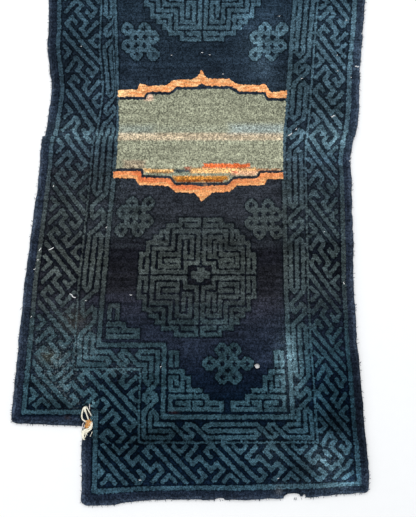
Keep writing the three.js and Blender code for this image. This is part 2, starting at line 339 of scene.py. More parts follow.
class Chart:
    """The pattern on one panel's grid of knots."""

    def __init__(self, across: Grid, along: Grid) -> None:
        """Starts an empty chart.

        Args:
            across: the columns, in knots from the left selvedge.
            along: the rows, in knots from the seam, negative on the lower panel.
        """
        self.across, self.along = across, along
        self.light = self.blank()

    def blank(self) -> Grid:
        """A layer with no light yarn anywhere."""
        return np.full((len(self.along), len(self.across)), FAR)

    def window(self, low: Point, high: Point) -> tuple[slice, slice] | None:
        """The rows and columns between two corners, or None where there are none.

        Args:
            low: the lowest place across and along.
            high: the highest.

        Returns:
            The window's slices, or None.
        """
        rows = np.nonzero((self.along >= low[1]) & (self.along <= high[1]))[0]
        columns = np.nonzero((self.across >= low[0]) & (self.across <= high[0]))[0]
        if not len(rows) or not len(columns):
            return None
        return slice(rows[0], rows[-1] + 1), slice(columns[0], columns[-1] + 1)

    def draw(self, layer: Grid, route: Points, half: float, open_end: float = 1.0) -> None:
        """Draws a line of light yarn into a layer.

        Args:
            layer: the distances inside light yarn so far, in knots.
            route: the line's corners, as knots across and along.
            half: half the line's width in knots.
            open_end: how far its free ends run on, in half widths.
        """
        def reach(before: Point, corner: Point, after: Point) -> float:
            """How far a stretch runs past a corner, so that the corner is full."""
            turn = (math.atan2(after[1] - corner[1], after[0] - corner[0])
                    - math.atan2(corner[1] - before[1], corner[0] - before[0]))
            turn = abs(math.remainder(turn, 2 * math.pi))
            return half * math.tan(turn / 2) if turn < 2.8 else half

        last = len(route) - 2
        for k, (a, b) in enumerate(zip(route, route[1:])):
            length = math.dist(a, b)
            if length < 1e-6:
                continue
            start = open_end * half if k == 0 else reach(route[k - 1], a, b)
            end = open_end * half if k == last else reach(a, b, route[k + 2])
            margin = half - FAR
            low = (min(a[0], b[0]) - margin, min(a[1], b[1]) - margin)
            high = (max(a[0], b[0]) + margin, max(a[1], b[1]) + margin)
            window = self.window(low, high)
            if window is None:
                continue
            ux, uy = (b[0] - a[0]) / length, (b[1] - a[1]) / length
            dx = self.across[window[1]][None, :] - a[0]
            dy = self.along[window[0]][:, None] - a[1]
            forward = dx * ux + dy * uy
            inside = np.minimum(half - np.abs(dy * ux - dx * uy),
                                np.minimum(forward + start, length + end - forward))
            layer[window] = np.maximum(layer[window], inside)


@dataclass(frozen=True)
class Frame:
    """A side of the border as the weaver faces it: u runs along it and v points in."""

    u: Point
    v: Point

    def at(self, origin: Point, u: float, v: float) -> Point:
        """A place on the chart from a place on this side."""
        return origin[0] + u * self.u[0] + v * self.v[0], origin[1] + u * self.u[1] + v * self.v[1]


FACING_UP = Frame(u=(1, 0), v=(0, 1))  # the lower hem
FACING_DOWN = Frame(u=(-1, 0), v=(0, -1))  # the upper hem
FACING_RIGHT = Frame(u=(0, 1), v=(1, 0))  # the left selvedge
FACING_LEFT = Frame(u=(0, -1), v=(-1, 0))  # the right selvedge


@dataclass(frozen=True)
class KeyBand:
    """One side of the outer border: slanting bars in pairs, with a hooked key between them.

    Its lattice has a step of (a, b) up to the right and one of (a, -b) down to the right.
    """

    edge: Edge
    half_of_rug: int  # -1 on the lower half and 1 on the upper
    facing: Frame
    a: float
    b: float
    centres: tuple[float, ...]
    tent_at: float = 4.1  # steps from a centre to the small tent beside it
    tent_half: float = 3.8  # knots, half the tent's foot
    tent_rise: float = 3.8  # knots from its foot to its tip
    past_edge: float = 0.4  # knots that the tent's foot lies past the band's edge

    def draw(self, chart: Chart, layer: Grid) -> None:
        """Draws every repeat of this side into a layer.

        Args:
            chart: the chart to draw on.
            layer: the layer.
        """
        layers = LAYERS[self.edge]
        horizontal = self.facing.u[1] == 0
        middle = layers.at((layers.key_from + layers.key_to) / 2) * (self.half_of_rug if horizontal else 1)
        edge, turn_end = (layers.key_to - layers.key_from) / 2 - 1, 0.9
        key_end = edge / self.b - 2
        bar = ((-2, -2 - (edge + 1) / self.b), (-2, turn_end), (-1, turn_end), (-1, -0.1))
        key = ((key_end, -2), (-1, -2), (-1, -1), (0, -1), (0, 0))
        tip, foot = -self.tent_at * self.a, edge + self.past_edge
        tent = ((tip - self.tent_half, foot), (tip, foot - self.tent_rise), (tip + self.tent_half, foot))
        for centre in self.centres:
            origin = (centre, middle) if horizontal else (middle, centre)
            for turn in (1, -1):
                for route in (bar, key):
                    places = tuple((turn * self.a * (i + j), turn * self.b * (i - j)) for i, j in route)
                    chart.draw(layer, tuple(self.facing.at(origin, *p) for p in places), KEY_HALF, 0.2)
                places = tuple((turn * u, turn * v) for u, v in tent)
                chart.draw(layer, tuple(self.facing.at(origin, *p) for p in places), 1.0, 0.0)


def border_places(layer_name: str) -> dict[Edge, float]:
    """The chart place of one layer of the border, along each edge."""
    return {edge: layers.at(getattr(layers, layer_name)) for edge, layers in LAYERS.items()}


def border_line(layer_name: str) -> Points:
    """The closed line that runs round the whole rug in one layer of the border.

    Args:
        layer_name: the layer's field in BorderLayers.

    Returns:
        Its corners on the chart.
    """
    places = border_places(layer_name)
    left, right, hem, notch, inner = (places[edge] for edge in Edge)
    return ((left, notch), (left, -notch), (inner, -notch), (inner, -hem), (right, -hem), (right, hem),
            (inner, hem), (inner, notch))


@dataclass(frozen=True)
class RunningFret:
    """The inner border: one light yarn that runs out, back and out again, then steps across in a zigzag.

    It runs counterclockwise, down the left side first. Each zigzag is the side it is on and the two chart
    places where it starts and ends.
    """

    zigzags: tuple[tuple[int, float, float], ...]
    arm: float = 6.0  # knots from a zigzag's end to its first turn
    knee: float = 2.0  # knots from its middle to where the step across begins
    knee_round: float = 1.2  # knots along that the corner there is cut off
    knee_drop: float = 1.4  # and knots across
    apart: float = 1.3  # knots between a zigzag's end and the next line
    hook: float = 0.3  # knots that the line's tip turns back

    def route(self) -> Points:
        """The yarn's whole way round the rug.

        Returns:
            The corners of one closed line, on the chart.
        """
        corners = border_line("fret_from")
        count = len(corners)
        headings = []
        for k in range(count):
            (ax, ay), (bx, by) = corners[k], corners[(k + 1) % count]
            length = math.dist((ax, ay), (bx, by))
            headings.append(((bx - ax) / length, (by - ay) / length))
        inward = [(-hy, hx) for hx, hy in headings]
        outer, middle, inner = FRET_LINES

        def spot(side: int, place: float, v: float) -> Point:
            """A place on a side at a distance in from the fret's outer side."""
            (cx, cy), (nx, ny) = corners[side], inward[side]
            if headings[side][0]:
                return place, cy + v * ny
            return cx + v * nx, place

        def corner(side: int, v: float) -> Point:
            """The corner at a side's end, at a distance in."""
            after = (side + 1) % count
            (cx, cy), (px, py), (qx, qy) = corners[after], inward[side], inward[after]
            return cx + v * (px + qx), cy + v * (py + qy)

        def run(first: tuple[int, float], second: tuple[int, float], v: float) -> list[Point]:
            """The line at one distance in, between two places, round any corner between them."""
            places, side = [spot(*first, v)], first[0]
            while side != second[0]:
                places.append(corner(side, v))
                side = (side + 1) % count
            return places + [spot(*second, v)]

        places: list[Point] = []
        for k, (side, start, end) in enumerate(self.zigzags):
            way = 1 if end > start else -1
            half = abs(end - start) / 2
            turn = self.knee - self.knee_round
            for along, v in ((-half, inner), (-half + self.arm, outer), (turn, outer),
                             (self.knee, outer + self.knee_drop), (-self.knee, inner - self.knee_drop),
                             (-turn, inner), (half - self.arm, inner), (half, outer)):
                places.append(spot(side, (start + end) / 2 + way * along, v))
            next_side, next_start, next_end = self.zigzags[(k + 1) % len(self.zigzags)]
            ahead = 1 if next_end > next_start else -1
            near, near_tip = (side, end + way * self.apart), (side, end - way * self.hook)
            far = (next_side, next_start - ahead * self.apart)
            far_tip = (next_side, next_start + ahead * self.hook)
            places += run((side, end), far, outer)[1:]
            places.append(spot(*far_tip, (outer + middle) / 2))
            places += run(near, far, middle)[::-1]
            places.append(spot(*near_tip, (middle + inner) / 2))
            places += run(near, (next_side, next_start), inner)[:-1]
        return tuple(places + places[:1])


@dataclass(frozen=True)
class Motif:
    """A motif of the field, on its own lattice."""

    centre: Point  # on the chart
    steps: tuple[Point, ...]  # each copy's lattice step, in knots across and along, negative to mirror it

    def draw(self, chart: Chart, routes: tuple[Points, ...], half: float, offset: float = 0.0) -> None:
        """Draws lines given as lattice places.

        Args:
            chart: the chart to draw on.
            routes: the lines.
            half: half their width in knots.
            offset: where the lattice's first line lies from the centre, in steps.
        """
        for across, along in self.steps:
            for route in routes:
                chart.draw(chart.light, tuple((self.centre[0] + (i + offset) * across,
                                               self.centre[1] + (j + offset) * along)
                                              for i, j in route), half)


# A quarter of the round medallion, on a lattice of ten lines each way: a meander with nested hooks
MEDALLION_QUARTER = (
    ((0, 1.5), (0, 7), (4, 7), (4, 4), (7, 4), (7, 0), (1.85, 0), (1.85, 1.5), (0, 1.5)),
    ((2, 5), (2, 2.6), (1, 2.6), (1, 6), (3, 6), (3, 3), (6, 3), (6, 1), (3, 1), (3, 2), (5, 2)),
    ((3, 9), (3, 8), (5, 8), (5, 5), (8, 5), (8, 3), (9, 3)),
    ((5, 7), (6, 7), (6, 6), (7, 6), (7, 5)),
    ((2, 8), (0, 8), (0, 9), (3, 9)),
    ((8, 2), (8, 0), (9, 0), (9, 3)),
)
MEDALLION_HEART = (((-3.3, 0), (3.3, 0)), ((0, -1.7), (0, 1.7)))
# Each medallion's middle, and its lattice's uneven steps in knots to the right, left, up and down
MEDALLIONS = (
    ((93.4, -71.4), (3.08, -3.48), (2.95, -3.16)),
    ((89.7, 80.8), (3.2, -3.3), (3.1, -3.1)),
)

# The stepped bracket in a corner of the field, from the corner out
BRACKET = (
    ((0, 2), (6, 2), (6, 1), (8.4, 1), (8.4, 0), (4, 0), (4, 1), (5, 1)),
    ((0, 2), (0, 0), (3, 0), (3, 1), (1.2, 1)),
    ((0, 6), (2, 6), (2, 5), (3, 5), (3, 3), (5, 3)),
    ((1, 4), (1, 5), (0, 5), (0, 3), (2, 3), (2, 4)),
    ((0, 7), (0, 9), (1, 9), (1, 7)),
)
SMALL_BRACKET = (
    ((0, 3), (0, 5), (1.4, 5), (1.4, 3)),
    ((0, 2), (2.6, 2), (2.6, 1), (5, 1), (5, 0), (0, 0), (0, 1), (1.6, 1)),
)
BRACKET_MIDDLE = (107.4, 138.2)  # on the chart, between a field's two brackets
BRACKET_APART = 28.7  # knots from there to each
BRACKET_HALF = 1.05  # half the line's width
SMALL_BRACKET_CORNER = (45.4, 102.4)

# Endless knots, as the eyes that their loops go round
TURNED_KNOT = (".o.o", "ooo.", ".ooo", "o.o.")
UPRIGHT_KNOT = ("..o.o..", "...o...", "o.o.o.o", "...o...", "..o.o..")
# Middle, form, step and the ways it is mirrored
ENDLESS_KNOTS = (
    ((55.2, -41.8), TURNED_KNOT, (4.75, 4.55), (1, 1)),
    ((128.2, -43.0), TURNED_KNOT, (4.75, 4.55), (-1, 1)),
    ((54.9, 50.1), TURNED_KNOT, (4.75, 4.55), (1, -1)),
    ((126.9, 50.1), TURNED_KNOT, (4.75, 4.55), (-1, -1)),
    ((108.3, -115.7), UPRIGHT_KNOT, (3.2, 3.3), (1, 1)),
    ((104.0, 118.0), UPRIGHT_KNOT, (3.2, 3.3), (1, 1)),
)

# The seat's two outlines, on the chart: the salmon bands, each as its outer and then its inner side
UPPER_SALMON = (
    (41.3, 24.3), (52.4, 24.5), (53.6, 26.4), (54.3, 27.5), (57.3, 27.4), (58.4, 26.3), (69.2, 26.7),
    (73.4, 29.4), (84.5, 29.8), (87.6, 31.4), (89.5, 34.8), (91.4, 31.8), (94.0, 30.1), (105.3, 30.3),
    (110.2, 27.3), (123.4, 26.7), (126.8, 27.5), (128.4, 24.6), (131.0, 22.9), (135.2, 23.4),
    (136.0, 24.0), (139.6, 23.8), (139.6, 19.9), (129.0, 20.1), (126.8, 23.3), (112.0, 23.5),
    (107.2, 26.3), (93.2, 26.4), (89.8, 27.8), (86.8, 26.0), (75.6, 26.1), (71.6, 23.3), (58.4, 23.4),
    (56.6, 20.7), (41.3, 20.8),
)
LOWER_SALMON = (
    (40.4, -18.5), (56.2, -18.2), (56.9, -21.7), (73.4, -22.1), (76.6, -25.5), (88.8, -25.7),
    (92.6, -26.5), (96.4, -25.9), (107.4, -25.6), (111.2, -22.4), (124.4, -22.2), (126.6, -19.3),
    (139.6, -19.2), (139.6, -22.3), (130.4, -22.4), (128.6, -25.4), (112.9, -25.8), (108.4, -28.8),
    (98.4, -29.5), (95.8, -31.4), (92.6, -34.0), (90.1, -31.0), (88.4, -29.5), (77.4, -29.3),
    (72.9, -25.9), (55.8, -25.4), (53.4, -21.9), (40.4, -21.8),
)
SEAT_OPENING = (
    (30.0, 20.6), (56.6, 20.6), (58.4, 23.3), (71.6, 23.2), (75.6, 26.0), (86.8, 25.9), (93.2, 26.3),
    (107.2, 26.2), (112.0, 23.4), (126.8, 23.2), (129.0, 20.0), (150.0, 19.8), (150.0, -19.2),
    (126.6, -19.3), (124.4, -22.2), (111.2, -22.4), (107.4, -25.6), (76.6, -25.5), (73.4, -22.1),
    (56.9, -21.7), (56.2, -18.2), (30.0, -18.4),
)
SEAT_LINE = 1.5  # knots: the navy line between the salmon and the khaki
SEAT_LEFT, SEAT_RIGHT = 41.6, 139.6
SEAT_REACH = 6.0  # knots: as far as the finishes read the seat's edges
RIM_REACH = 40.0  # mm: as far as they read the rug's edge
STREAK_RAGGED = 0.66  # knots of unevenness along a streak
# Painted sheen along the seam's ridge, laid in with the worn places: how strong, and its reach in mm
SEAM_SHEEN, SEAM_SHEEN_REACH = 0.55, 15.0
DARKEST_SHADE = 0.38  # of the wool's own lightness, where dark patches overlap


@dataclass(frozen=True)
class Streak:
    """A row or two of knots in another dye: where it runs on the chart, its colour and its soft edge."""

    left: float
    right: float
    low: float
    high: float
    colour: str
    strength: float = 1.0
    soft: float = 0.5


# Left, right, low and high on the chart, colour, strength and soft edge
SEAT_STREAKS = tuple(Streak(*row) for row in (
    (41, 140, -2.3, 1.6, "#c6b397", 0.85, 0.6),
    (41, 62, 1.4, 5.6, "#8d9a97", 0.45, 2.0),
    (62, 108, 1.4, 5.0, "#959c8d", 0.3, 2.0),
    (108, 140, 1.2, 6.0, "#9aaaac", 0.55, 2.0),
    (45.7, 58.3, -17.4, -12.6, "#a58d76", 0.6, 0.8),
    (57.0, 61.4, 18.8, 22.9, "#dcae96", 0.75, 0.8),
    (58.3, 124.6, -22.6, -18.8, "#8f9683", 0.8, 0.5),
    (58.3, 75.6, -19.0, -17.2, "#edb878", 1.0, 0.3),
    (62.0, 75.0, -19.5, -18.6, "#8a6138", 0.8, 0.3),
    (85.3, 123.6, -19.3, -16.6, "#e9b67a", 1.0, 0.4),
    (92.9, 119.9, -16.7, -14.4, "#e5703e", 1.0, 0.3),
    (113.0, 121.5, -17.3, -16.4, "#6b4028", 0.8, 0.3),
    (109.0, 124.4, -20.6, -18.0, "#dba884", 0.9, 0.5),
    (110.0, 112.6, -19.2, -18.0, "#d8694a", 0.8, 0.3),
    (75.8, 84.9, -19.0, -17.3, "#2b3a44", 0.9, 0.4),
    (82.2, 85.4, -17.5, -16.2, "#a5482c", 0.9, 0.4),
    (75.4, 107.6, -23.0, -20.8, "#cf8a3c", 1.0, 0.4),
    (77.0, 105.0, -25.4, -22.6, "#8a4b20", 1.0, 0.4),
    (91.0, 94.0, -25.4, -23.6, "#d39a55", 0.9, 0.4),
    (123.6, 139.0, -18.6, -17.1, "#a8683c", 0.9, 0.3),
))


def border_chart(chart: Chart) -> None:
    """Draws the border: its lines, the running fret and the bands of keys.

    Args:
        chart: the chart to draw on.
    """
    for name, half in (("line", LINE_HALF), ("thin_line", THIN_HALF), ("field_line", LINE_HALF)):
        corners = border_line(name)
        chart.draw(chart.light, corners + corners[:2], half, 0.0)
    chart.draw(chart.light, RUNNING_FRET.route(), FRET_HALF, 0.0)
    across, along = np.meshgrid(chart.across, chart.along)
    from_seam = np.abs(along)
    outer, inner = border_places("key_from"), border_places("key_to")
    slope = (outer[Edge.HEM] - inner[Edge.HEM]) / (outer[Edge.RIGHT] - inner[Edge.RIGHT])
    above_split = from_seam < inner[Edge.HEM] + (across - inner[Edge.RIGHT]) * slope
    on_right = (across > inner[Edge.RIGHT]) & above_split
    flap = (across > outer[Edge.NOTCH_SIDE]) & (from_seam < outer[Edge.HEM]) & (across < outer[Edge.RIGHT])
    past_notch = from_seam > inner[Edge.NOTCH_HEM]
    regions = {
        Edge.RIGHT: flap & on_right,
        Edge.HEM: flap & (from_seam > inner[Edge.HEM]) & ~on_right,
        Edge.NOTCH_SIDE: (flap & (across < inner[Edge.NOTCH_SIDE]) & past_notch
                          & (from_seam < inner[Edge.HEM])),
        Edge.NOTCH_HEM: ((across > outer[Edge.LEFT]) & (across < outer[Edge.NOTCH_SIDE]) & past_notch
                         & (from_seam < outer[Edge.NOTCH_HEM])),
        Edge.LEFT: ((across > outer[Edge.LEFT]) & (across < inner[Edge.LEFT])
                    & (from_seam < inner[Edge.NOTCH_HEM])),
    }
    for band in KEY_BANDS:
        region = regions[band.edge] & (along * band.half_of_rug > 0)
        layer = chart.blank()
        band.draw(chart, layer)
        chart.light = np.where(region, np.maximum(chart.light, layer), chart.light)


HEM_CENTRES = (36.4, 65.8, 95.5, 125.0, 154.4, 183.8)
NOTCH_HEM_CENTRES = (2.6, 32.0, 61.5)
# Edge, half of the rug, facing, the lattice's a and b, and the repeats' centres along the edge, in knots
KEY_BANDS = tuple(KeyBand(*row) for row in (
    (Edge.HEM, -1, FACING_UP, 2.95, 3.15, HEM_CENTRES),
    (Edge.RIGHT, -1, FACING_LEFT, 3.27, 2.5, (-159.5, -126.8, -94.6, -61.9, -28.6, 4.1)),
    (Edge.LEFT, -1, FACING_RIGHT, 3.0, 2.75, (-137.5, -107.5, -77.5, -47.6, -17.6, 12.4)),
    (Edge.NOTCH_SIDE, -1, FACING_RIGHT, 2.95, 2.9, (-177.7, -148.2, -118.7)),
    (Edge.NOTCH_HEM, -1, FACING_UP, 2.95, 2.95, NOTCH_HEM_CENTRES),
    (Edge.HEM, 1, FACING_DOWN, 2.95, 3.15, HEM_CENTRES),
    (Edge.RIGHT, 1, FACING_LEFT, 3.15, 2.5, (-4.8, 26.9, 58.4, 90.0, 121.5, 153.0)),
    (Edge.LEFT, 1, FACING_RIGHT, 3.16, 2.75, (0.1, 31.7, 63.3, 94.9, 126.5)),
    (Edge.NOTCH_SIDE, 1, FACING_RIGHT, 2.95, 2.9, (177.7, 148.2, 118.7)),
    (Edge.NOTCH_HEM, 1, FACING_DOWN, 2.95, 2.95, NOTCH_HEM_CENTRES),
))
RUNNING_FRET = RunningFret((
    (0, 107.0, 91.0), (0, 63.3, 47.2), (0, 21.6, 5.8), (0, -30.1, -50.7), (0, -78.8, -101.1),
    (1, 46.9, 61.5), (2, -125.3, -139.5), (3, 79.8, 96.0), (3, 121.9, 136.2),
    (4, -138.5, -121.9), (4, -96.6, -79.6), (4, -53.5, -36.6), (4, -7.3, 9.4), (4, 27.9, 42.9),
    (4, 75.0, 91.0), (4, 120.0, 136.0), (5, 136.2, 121.9), (5, 96.0, 79.8), (6, 139.5, 125.3),
    (7, 61.5, 46.9),
))


def field_chart(chart: Chart) -> None:
    """Draws the field: medallions, endless knots and brackets.

    Args:
        chart: the chart to draw on.
    """
    for centre, wide, tall in MEDALLIONS:
        steps = tuple((across, along) for across in wide for along in tall)
        Motif(centre, steps).draw(chart, MEDALLION_QUARTER, 1.06, 0.5)
        Motif(centre, ((1, 1),)).draw(chart, MEDALLION_HEART, 1.9)
    for side in (-1, 1):
        for way in (1, -1):
            corner = (BRACKET_MIDDLE[0] - way * BRACKET_APART, side * BRACKET_MIDDLE[1])
            Motif(corner, ((way * 3.08, -side * 3.1),)).draw(chart, BRACKET, BRACKET_HALF)
        corner = (SMALL_BRACKET_CORNER[0], side * SMALL_BRACKET_CORNER[1])
        Motif(corner, ((3.1, -side * 3.1),)).draw(chart, SMALL_BRACKET, BRACKET_HALF)
    for row in ENDLESS_KNOTS:
        endless_knot(chart, *row)


def endless_knot(chart: Chart, centre: Point, form: tuple[str, ...], step: Point, turn: Point) -> None:
    """Draws an endless knot as the loops round its eyes.

    Args:
        chart: the chart to draw on.
        centre: the knot's middle.
        form: rows of the knot from its top, with an o for each eye.
        step: the distance between places of the form, in knots.
        turn: 1 or -1 for each way, to mirror it.
    """
    loop, eye, slit, bevel = 3.55, 1.5, 0.55, 0.76  # knots, and the share that cuts a loop's corners
    eyes = [(centre[0] + turn[0] * (i - (len(row) - 1) / 2) * step[0],
             centre[1] - turn[1] * (j - (len(form) - 1) / 2) * step[1])
            for j, row in enumerate(form) for i, mark in enumerate(row) if mark == "o"]
    reach = loop - FAR
    xs, ys = [e[0] for e in eyes], [e[1] for e in eyes]
    window = chart.window((min(xs) - reach, min(ys) - reach), (max(xs) + reach, max(ys) + reach))
    if window is None:
        return
    x, y = chart.across[window[1]][None, :], chart.along[window[0]][:, None]
    solid = np.full(np.broadcast(x, y).shape, FAR)
    holes = np.full(solid.shape, -2 * FAR)
    for ex, ey in eyes:
        dx, dy = np.abs(x - ex), np.abs(y - ey)
        away = np.maximum(np.maximum(dx, dy), (dx + dy) * bevel)
        solid = np.maximum(solid, loop - away)
        plus = np.minimum(np.maximum(dx - slit, dy - eye), np.maximum(dx - eye, dy - slit))
        holes = np.minimum(holes, plus)
    chart.light[window] = np.maximum(chart.light[window], np.minimum(solid, holes))


# Damage of the lower panel, in millimetres from the middle of the seam, as the solids have it
HOLE = (106.0, -415.4)
HOLE_RADII = (5.0, 4.3, 4.8, 4.4, 5.2, 4.1, 4.7, 4.4, 5.0)
HEM_CHIPS: tuple[Points, ...] = (
    ((30, -660), (31, -646.6), (35, -644.6), (41, -643.8), (47.5, -644.6), (49, -660)),
    ((149.5, -660), (151.5, -640.4), (158, -636.2), (170, -635.4), (178.5, -636.6), (180.5, -641.6),
     (184, -641.2), (185.5, -636.4), (189, -638.2), (191.5, -660)),
)
NOTCH_CORNER = (-202.0, -521.0)
TEAR: Points = (
    (-9, -3), (-3, -1.5), (-3.2, 10), (-2.4, 21), (-0.4, 31), (3, 39), (8.5, 41.5), (13.5, 35), (16.5, 22),
    (18, 6), (17, -9), (13.5, -19.5), (7, -25), (0.5, -26.5), (-9, -27),
)
NO_DAMAGE = 1000.0  # mm: far from any hole or tear
CUT_REACH = 2.4  # mm: a place this near a cut's outline is moved onto it
TEAR_PLACES: Points = tuple((NOTCH_CORNER[0] + x, NOTCH_CORNER[1] + y) for x, y in TEAR)
TEAR_FLOOR = 2.8  # the height of what is left of the ground weave in the tear
TEAR_COLOUR = "#131d2a"


def damage() -> tuple[Points, ...]:
    """The outlines that are worn or torn right through the lower panel."""
    hole = tuple((HOLE[0] + r * math.cos(2 * math.pi * i / len(HOLE_RADII)),
                  HOLE[1] + r * math.sin(2 * math.pi * i / len(HOLE_RADII)))
                 for i, r in enumerate(HOLE_RADII))
    return (hole,) + HEM_CHIPS


@dataclass(frozen=True)
class Patch:
    """A worn patch, a patch of painted sheen, or a patch painted paler or darker: its place and reach
    in mm from the seam's middle, and how strong.
    """

    x: float
    y: float
    reach_x: float
    reach_y: float
    amount: float
    turn: float = 0.0

    def over(self, x: Grid, y: Grid) -> Grid:
        """How much of the patch there is at each place.

        Args:
            x: the places across.
            y: the places along.

        Returns:
            The patch's strength there.
        """
        dx, dy = x - self.x, y - self.y
        c, s = math.cos(self.turn), math.sin(self.turn)
        far = ((dx * c + dy * s) / self.reach_x) ** 2 + ((dy * c - dx * s) / self.reach_y) ** 2
        return self.amount * np.exp(-far)


@dataclass(frozen=True)
class Stain:
    """A stain: its place and reach in millimetres from the seam's middle, its colour and how strong."""

    x: float
    y: float
    reach_x: float
    reach_y: float
    colour: str
    amount: float


# Place and reach in millimetres, colour and how strong
STAINS = tuple(Stain(*row) for row in (
    (-41, -496, 7, 2.5, "#4a2c2c", 0.45), (142, -630, 6, 8, "#66696c", 0.5),
    (-228, -505, 5, 3, "#3a2c24", 0.7), (60, -430, 26, 3, "#26303c", 0.4),
    (-190, -500, 2.6, 7, "#3a2024", 0.8), (-218, -336, 26, 20, "#5b564b", 0.35),
    (-262, -398, 16, 12, "#67664f", 0.35), (13.4, -90.4, 3, 1.8, "#d8a877", 0.7),
))
# Place and reach in millimetres, how strong and the turn in radians. The two rows beside the seam
# are painted sheen on its ridge; the others are worn places.
WORN_AND_SHEEN_PATCHES = tuple(Patch(*row) for row in (
    (-252, -408, 38, 60, 0.75, 0.5), (-205, -372, 28, 38, 0.65, 0.3), (-226, -345, 36, 34, 0.5),
    (-238, -450, 16, 54, 0.65, 0.7), (162, -405, 22, 84, 0.75), (226, -576, 40, 40, 0.9, -0.4),
    (222, -622, 70, 14, 0.6), (130, -560, 30, 30, 0.35), (176, -250, 20, 130, 0.12),
    (-150, -110, 34, 60, 0.2), (150, 95, 90, 50, 0.5), (-20, 205, 120, 60, 0.25),
    (300, 170, 24, 140, 0.55), (240, 60, 60, 70, 0.35), (-240, 12, 60, 22, 0.6),
    (240, -2, 70, 26, 0.9), (-130, -415, 46, 20, 0.3), (118, 131, 28, 20, 0.8),
    (102, 172, 28, 34, 0.5), (190, 176, 70, 70, 0.35), (150, 106, 20, 22, 0.5),
))
# Places painted paler, and darker ones with a strength below 0: place, reach and how strong. Among them is
# painted highlight: the sheen along the seam's ridge and down the top of the right selvedge.
SHADES = tuple(Patch(*row) for row in (
    (300, -480, 34, 130, -0.65), (250, -516, 58, 23, -0.5), (-245, 140, 56, 90, -0.35),
    (-120, -560, 90, 60, -0.1), (-245, -390, 50, 80, -0.28), (60, -440, 80, 40, -0.2),
    (156, -395, 34, 66, 0.35), (300, 130, 34, 120, 0.4), (230, -578, 40, 40, 0.35),
    (-240, 4, 60, 16, 0.2), (240, 0, 70, 18, 0.4), (111, 215, 40, 32, 0.55),
    (253, 204, 40, 43, 0.4), (286, 158, 16, 40, 0.35), (180, 120, 23, 40, -0.4),
    (118, 131, 25, 20, 0.8), (220, 67, 43, 25, -0.3), (-184, 80, 43, 22, 0.3),
    (-186, 230, 50, 25, 0.25), (-119, 112, 25, 18, 0.3), (-166, -59, 22, 50, -0.3),
    (181, -30, 36, 25, 0.35), (240, -59, 43, 32, 0.25), (109, -140, 25, 43, 0.4),
    (217, -144, 36, 25, 0.4), (170, -202, 25, 14, -0.35), (76, -205, 43, 13, -0.25),
    (307, -235, 16, 56, -0.6), (-271, -245, 25, 29, 0.6), (-234, -281, 22, 22, 0.35),
    (-208, -158, 25, 40, 0.25), (169, -295, 32, 16, 0.25), (-58, -330, 65, 22, -0.2),
    (165, -338, 22, 25, -0.2), (-57, -447, 50, 20, -0.25), (-259, -478, 22, 16, -0.35),
    (152, -499, 36, 14, -0.3), (-83, -540, 83, 23, -0.35), (92, -561, 36, 13, 0.5),
    (-175, -590, 22, 16, 0.3), (185, -588, 20, 20, -0.45), (259, -615, 29, 20, 0.65),
    (306, -545, 14, 60, -0.2), (244, -440, 34, 44, -0.35), (-60, -545, 120, 40, -0.1),
    (98, 176, 22, 42, 0.4), (182, 82, 28, 14, -0.35), (250, 50, 16, 18, -0.4),
    (213, -425, 14, 24, 0.45), (244, -505, 16, 38, -0.4), (181, -608, 24, 22, -0.35),
    (256, -610, 24, 22, 0.3), (55, -262, 28, 14, 0.25), (62, -358, 16, 14, -0.3),
    (95, -110, 20, 22, 0.25), (200, -140, 24, 16, 0.25), (172, -202, 26, 12, -0.3),
    (48, -202, 26, 12, -0.25), (-30, -520, 38, 28, -0.2), (-240, -478, 18, 14, -0.25),
    (-284, -262, 14, 14, 0.35), (-250, -292, 16, 14, 0.3), (2, -232, 16, 12, 0.3),
    (124, 126, 18, 46, 0.3), (-120, -138, 22, 24, -0.18), (240, 2, 60, 16, 0.1),
    (-180, 180, 90, 80, -0.08), (230, 170, 70, 70, 0.1), (-10, 150, 60, 30, -0.15),
    (146, 108, 18, 20, 0.2),
))


